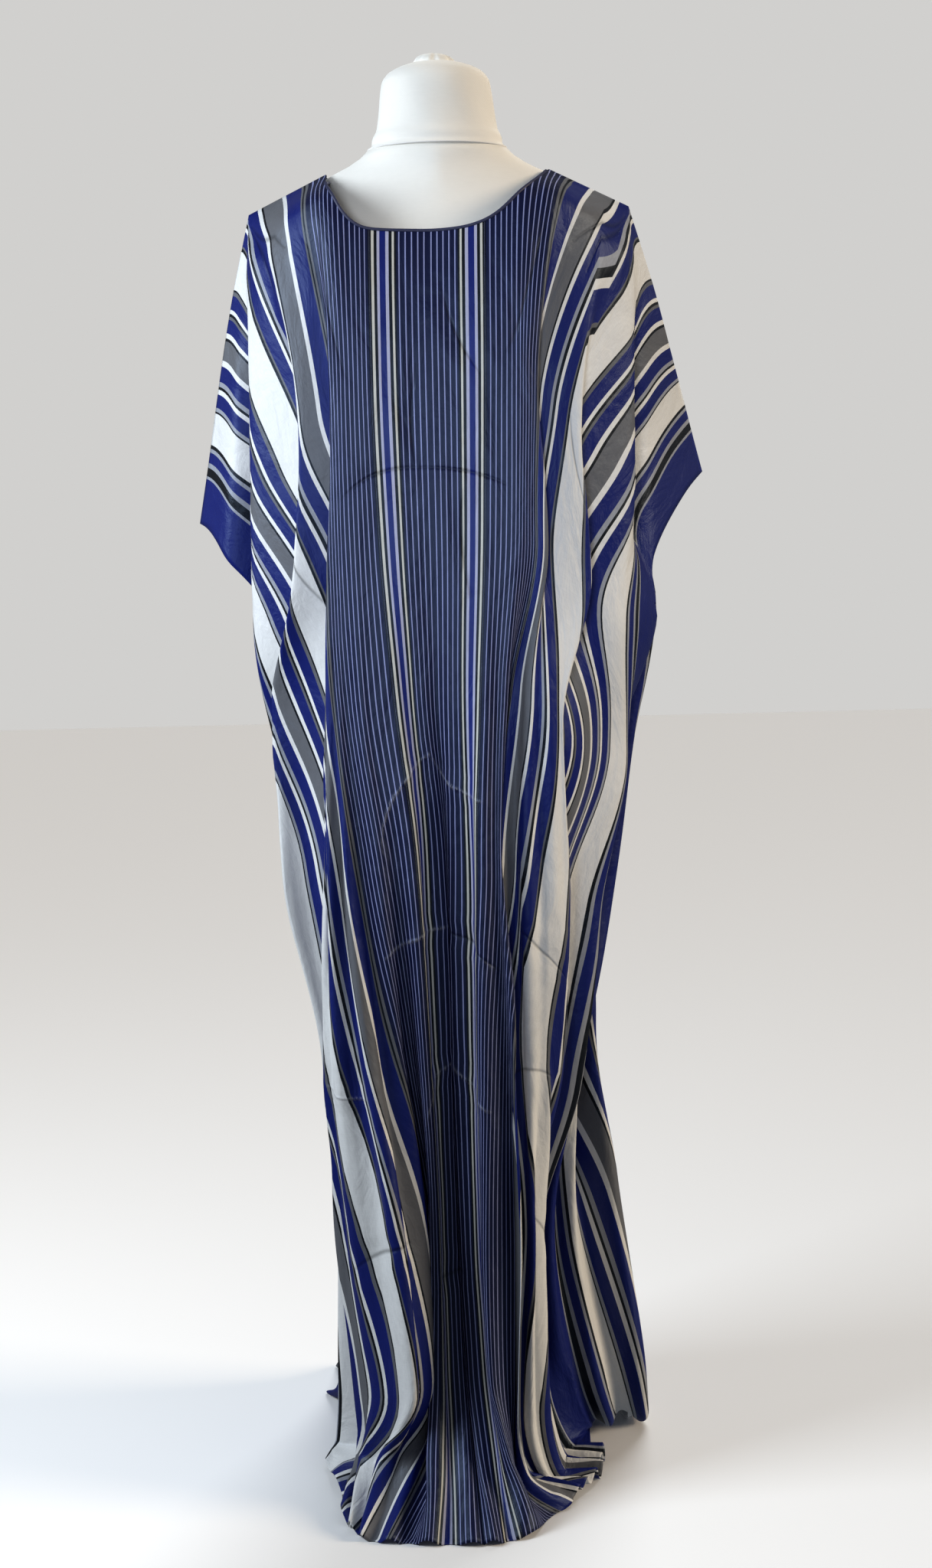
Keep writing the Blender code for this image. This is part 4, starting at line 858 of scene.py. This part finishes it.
def striped_material(name, creases):
    """The dress's cloth: warp stripes by flat place, a fine weave, pressed creases and wrinkles."""
    made, nodes, shader = finish_material(name)
    uv = nodes.value("ShaderNodeUVMap", {}, uv_map="flat_cloth")
    out, down = (part * 100.0 for part in nodes.parts(uv)[:2])
    # The threads wander a little, so that no stripe is ruled
    place = nodes.math("ABSOLUTE", out + (nodes.noise(uv, (30, 4, 1), 3.0) - 0.5) * 0.09)

    split = STRIPES[RAMP_STRIPES - 1][0]
    inner = stripe_ramp(nodes, place, STRIPES[:RAMP_STRIPES], 0.0)
    outer = stripe_ramp(nodes, place, STRIPES[RAMP_STRIPES:], split)
    colour = nodes.mix(nodes.math("GREATER_THAN", place, split), inner, outer)
    line = nodes.math("LESS_THAN", nodes.math("FRACT", (place - PINSTRIPE_START) / PINSTRIPE_STEP),
                      PINSTRIPE_WIDTH / PINSTRIPE_STEP)
    field = sum(nodes.math("GREATER_THAN", place, begin) * nodes.math("LESS_THAN", place, end)
                for begin, end in PINSTRIPE_FIELDS)
    colour = nodes.mix(line * field, colour, (*YARNS["pinstripe"], 1.0))

    # Uneven yarn, and creases with painted shade in their troughs and patchy painted highlights on their
    # ridges
    slub = nodes.noise(uv, (700, 90, 1), 3.0, 0.6)
    weft_slub = nodes.noise(uv, (60, 900, 1), 2.0, 0.6)
    patches = nodes.noise(uv, (9, 9, 9), 4.0, 0.55)
    troughs = pressed_lines(nodes, out, down, [crease for crease in creases if crease.depth > 0])
    ridges = pressed_lines(nodes, out, down, [crease for crease in creases if crease.depth < 0])
    # Painted shade: the trough lines darken the yarn's uneven tone by up to 45 percent
    shade = (0.74 + slub * 0.22 + weft_slub * 0.14 + patches * 0.16) * (1.0 - troughs * 0.45)
    grey = nodes.value("ShaderNodeCombineXYZ", {0: shade, 1: shade, 2: shade})
    colour = nodes.mix(1.0, colour, grey, "MULTIPLY")
    # Painted highlight: the ridge lines are mixed in patches toward a pale lilac
    colour = nodes.mix(ridges * (nodes.math("GREATER_THAN", slub, 0.50) * 0.35), colour, RIDGE_HIGHLIGHT)

    # Small wrinkles that the mesh is too coarse for, then the weave: warp along the stripes, weft across
    weave = nodes.math("SINE", out * (2 * math.pi / WARP_PITCH))
    weave = weave * nodes.math("SINE", down * (2 * math.pi / WEFT_PITCH))
    normal = nodes.bump(nodes.noise(uv, (26, 11, 1), 5.0, 0.55, 0.8), 0.35, 0.012)
    normal = nodes.bump(nodes.noise(uv, (70, 60, 1), 3.0, 0.5, 0.4), 0.2, 0.003, Normal=normal)
    normal = nodes.bump(ridges - troughs, 0.6, 0.0015, Normal=normal)
    normal = nodes.bump(weave, 0.12, 0.0004, Normal=normal)
    nodes.put(shader, {"Base Color": colour, "Normal": normal, "Roughness": 0.36 + patches * 0.16,
                       "Specular IOR Level": 0.32, "Specular Tint": (0.55, 0.72, 1.0, 1.0)})
    return made


def linen_material(name, colour, weave_size):
    """The form's stretched cover: pale plain weave with faint slubs."""
    made, nodes, shader = finish_material(name)
    place = nodes.value("ShaderNodeTexCoord", {}, "Object")
    across, _, up = nodes.parts(place)
    turn = 2 * math.pi / weave_size
    weave = nodes.math("SINE", across * turn) * nodes.math("SINE", up * turn)
    slub = nodes.noise(place, (90, 90, 700), 3.0, 0.6)
    soil = nodes.noise(place, (14, 14, 14), 4.0, 0.6)
    darker = [0.90 * part for part in colour]
    normal = nodes.bump(weave, 0.2, 0.0004, Normal=nodes.bump(soil, 0.12, 0.004))
    nodes.put(shader, {"Base Color": nodes.mix(slub * 0.5 + soil * 0.5, (*darker, 1.0), (*colour, 1.0)),
                       "Normal": normal, "Roughness": 0.72 + slub * 0.15, "Sheen Weight": 0.15})
    return made


def grained_material(name, grain, dark, pale, rough, relief, metallic=0.0):
    """A material of one stretched noise, which mixes two colours, roughens the surface and raises it."""
    made, nodes, shader = finish_material(name)
    streaks = nodes.noise(nodes.value("ShaderNodeTexCoord", {}, "Object"), *grain)
    nodes.put(shader, {"Base Color": nodes.mix(streaks, (*dark, 1.0), (*pale, 1.0)),
                       "Normal": nodes.bump(streaks, relief, 0.0006),
                       "Roughness": rough + streaks * 0.2, "Metallic": metallic})
    return made


def ring_walls(starts, sides):
    """Faces between each ring of points and the next, by the number of each ring's first point."""
    return [(low + side, low + (side + 1) % sides, high + (side + 1) % sides, high + side)
            for low, high in zip(starts, starts[1:]) for side in range(sides)]


def tube(name, path, radius, made, sides=10):
    """A closed round cord along a closed path."""
    points = []
    for index, place in enumerate(path):
        along = path[(index + 1) % len(path)] - path[index - 1]
        along = along / np.linalg.norm(along)
        level = np.cross(along, (0, 0, 1.0))
        level /= np.linalg.norm(level)
        rising = np.cross(level, along)
        for side in range(sides):
            turn = 2 * math.pi * side / sides
            points.append(place + radius * (level * math.cos(turn) + rising * math.sin(turn)))
    return new_object(name, points, ring_walls([*range(0, len(points), sides), 0], sides), made)


def lofted(name, section, made, relief=None, sides=96):
    """A closed body through level sections; relief moves its wall out by height and turn."""
    points = []
    for height, half_width, front, back, power in zip(*section):
        for side in range(sides):
            turn = 2 * math.pi * side / sides
            across = math.cos(turn)
            depth = math.sin(turn)
            out = (abs(across) ** power + abs(depth) ** power) ** (-1 / power)
            reach = back if depth > 0 else front
            raised = relief(height, turn) if relief else 0.0
            points.append(((half_width + raised) * across * out, (reach + raised) * depth * out, height))
    ends = [tuple(range(sides))[::-1], tuple(range(len(points) - sides, len(points)))]
    return new_object(name, points, ring_walls(range(0, len(points), sides), sides) + ends, made)


def hump(value, middle, width):
    """1 at the middle, falling smoothly to 0 over the width."""
    return math.exp(-((value - middle) / width) ** 2)


def neck_relief(height, turn):
    """The neck cover's slack: a groove over its seam, a soft roll above and faint drag lines."""
    roll = 0.0016 * hump(height, NECK_BOTTOM_Z + 0.0125, 0.0050)
    groove = -0.0012 * hump(height, NECK_BOTTOM_Z + 0.0045, 0.0030)
    drag = 0.0004 * math.sin(7 * turn + 60 * height) * hump(height, 1.50, 0.03)
    return (roll + groove) * (0.75 + 0.25 * math.sin(2 * turn + 0.8)) + drag


def tuft_relief(height, turn):
    """Gathers of the cloth that closes the neck cover on top."""
    above = (height - NECK_TOP_Z) / 0.011
    pleats = math.sin(9 * turn + 1.2 * math.sin(2 * turn)) + 0.5 * math.sin(14 * turn + 2.0)
    return 0.0011 * pleats * (1 - 0.45 * above) - 0.003 * above * math.cos(turn)


def hand_over(piece, node=None):
    """Gives a finished piece its body, and hides the solid that it replaces."""
    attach(piece, "root")
    if node:
        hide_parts(node)


def torso_cover(cover):
    """The covered torso."""
    heights = np.linspace(TORSO[0].height, TORSO[-1].height, TORSO_RINGS)
    torso = lofted("torso_cover", section_at(TORSO, heights), cover)
    hand_over(torso, "form_torso")


def neck_cover(cover):
    """The covered neck block, its rings closest where its sections are."""
    heights = np.interp(np.linspace(0, 1, NECK_RINGS), np.linspace(0, 1, len(NECK)),
                        [section.height for section in NECK])
    neck = lofted("neck_cover", section_at(NECK, heights), cover, neck_relief)
    hand_over(neck, "form_neck")


def neck_piping():
    """The piping round the foot of the neck block."""
    cotton = linen_material("piping_cotton", (0.88, 0.87, 0.84), 0.0012)
    ring = []
    for turn in np.arange(PIPING_POINTS) * 2 * math.pi / PIPING_POINTS:
        depth = NECK[0].back if math.sin(turn) > 0 else NECK[0].front
        across = NECK[0].half_width * math.cos(turn)
        ring.append(np.array((across, depth * math.sin(turn), NECK_BOTTOM_Z)))
    hand_over(tube("neck_piping", ring, PIPING_RADIUS, cotton))


def neck_tuft(cover):
    """The gathered tuft that closes the cover on top."""
    radii, heights = zip(*CAP_PROFILE)
    fine = np.linspace(heights[0], heights[-1], TUFT_RINGS)
    radius = smooth_line(heights, radii, fine)
    plan = TorsoSection(fine, radius, 0.92 * radius, 0.92 * radius, np.full(len(fine), 2.0))
    hand_over(lofted("neck_tuft", plan, cover, tuft_relief), "form_cap")


def dress_form():
    """The cover of the form, from the torso up."""
    cover = linen_material("form_linen", (0.94, 0.92, 0.86), 0.0016)
    torso_cover(cover)
    neck_cover(cover)
    neck_piping()
    neck_tuft(cover)


def dress():
    """The two panels of the dress and its bound neck edge."""
    panels = [Panel(plan) for plan in PLANS]
    sheets = [shaped(panel) for panel in panels]
    join_panels(panels, sheets)
    pieces = []
    for plan, sheet in zip(PLANS, sheets):
        made = striped_material("striped_cloth_" + plan.name, plan.creases)
        pieces.append(cloth_shell(plan.name, sheet, made))
        hand_over(pieces[-1], plan.node)
    rows = [panel.neck_row(sheet.places) for panel, sheet in zip(panels, sheets)]
    tape = grained_material("neck_edge_tape", ((900, 900, 900),), (0.006, 0.008, 0.03),
                            (0.03, 0.035, 0.10), 0.45, 0.3)
    binding = tube("neck_binding_tape", np.vstack([rows[0], rows[1][::-1]]), BINDING_RADIUS, tape)
    hand_over(binding, "neck_binding")
    for plan, piece, others in zip(PLANS, pieces, ([binding], [])):
        area = SHEET_WIDTH * DRESS_LENGTH - 2 * NECK_CORNER * NECK_CUT * plan.neck_drop


def stand():
    """Materials of the pole and base, which keep their solids."""
    steel = grained_material("stand_steel", ((30, 30, 900), 3.0), (0.42, 0.43, 0.45),
                             (0.62, 0.63, 0.65), 0.25, 0.0, metallic=1.0)
    wood = grained_material("base_wood", ((14, 160, 40), 5.0, 0.6, 1.2), (0.16, 0.085, 0.045),
                            (0.42, 0.26, 0.14), 0.35, 0.15)
    for name, made in (("form_pole", steel), ("form_base", wood)):
        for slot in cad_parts[name].material_slots:
            slot.material = made


def light(name, kind, place, strength, spread, colour, glossy=True):
    """A light aimed at the dress: a sun spread in degrees, or a near lamp with its width in metres."""
    lamp = bpy.data.lights.new(name, kind)
    lamp.energy = strength
    lamp.color = colour
    if kind == "SUN":
        lamp.angle = math.radians(spread)
    elif kind == "AREA":
        lamp.size = spread
    else:
        lamp.shadow_soft_size = spread / 2
        lamp.spot_size = math.radians(SPOT_ANGLE)
        lamp.spot_blend = 1.0
    thing = bpy.data.objects.new(name, lamp)
    thing.visible_glossy = glossy
    thing.location = place
    aim = Vector((0, 0, 0 if kind == "SUN" else LIT_HEIGHT)) - Vector(place)
    thing.rotation_euler = aim.to_track_quat("-Z", "Y").to_euler()
    bpy.context.scene.collection.objects.link(thing)


def studio_floor():
    """A wide pale floor."""
    made, nodes, shader = finish_material("pale_floor")
    nodes.put(shader, {"Base Color": (0.94, 0.94, 0.94, 1.0), "Roughness": 0.7})
    corners = [(x * FLOOR_HALF, y * FLOOR_HALF, 0) for x, y in ((-1, -1), (1, -1), (1, 1), (-1, 1))]
    floor = new_object("floor", corners, [(0, 1, 2, 3)], made)
    # The skirt darkens toward the hem, so the floor throws no light up on it
    floor.visible_diffuse = False
    floor.visible_glossy = False


def studio_lights():
    """A cool window to the left, a low warm sun to the right, a back light and a lamp by the camera."""
    light("cool_window", "AREA", (-1.9, -0.80, 1.75), 39, 1.1, (0.84, 0.92, 1.0))
    light("warm_lamp", "SUN", (1.4, -0.25, 0.55), 1.65, 22, (1.0, 0.82, 0.60))
    light("back_fill", "SUN", (0.3, 1.0, 0.9), 1.4, 30, (0.94, 0.97, 1.0), glossy=False)
    light("front_lamp", "SPOT", (-0.35, -2.75, 1.15), 104, 0.5, (0.84, 0.90, 1.0))


def studio_world():
    """A room that is pale to look at, and lights the dress more gently."""
    world = bpy.data.worlds.new("pale_room")
    world.use_nodes = True
    nodes = Nodes(world.node_tree)
    room = world.node_tree.nodes["Background"]
    nodes.put(room, {"Color": (0.90, 0.94, 1.0, 1.0), "Strength": 0.11})
    seen = nodes.value("ShaderNodeBackground", {"Color": (0.50, 0.495, 0.485, 1.0)})
    camera_ray = nodes.value("ShaderNodeLightPath", {}, "Is Camera Ray")
    either = nodes.value("ShaderNodeMixShader", {0: camera_ray, 1: Value(nodes, room.outputs[0]), 2: seen})
    nodes.put(world.node_tree.nodes["World Output"], {"Surface": either})
    bpy.context.scene.world = world


def studio_camera():
    """The photo's view of the dress, and how the picture is exposed."""
    camera_data = bpy.data.cameras.new("camera")
    camera_data.lens = CAMERA_LENS
    camera = bpy.data.objects.new("camera", camera_data)
    tilt = Matrix.Rotation(math.radians(90 - CAMERA_DOWN), 4, "X")
    roll = Matrix.Rotation(math.radians(-CAMERA_ROLL), 4, "Z")
    camera.matrix_world = Matrix.Translation(CAMERA_PLACE) @ tilt @ roll
    scene = bpy.context.scene
    scene.collection.objects.link(camera)
    scene.camera = camera
    scene.view_settings.view_transform = "Standard"
    scene.view_settings.exposure = EXPOSURE


dress()
dress_form()
stand()
studio_floor()
studio_lights()
studio_world()
studio_camera()
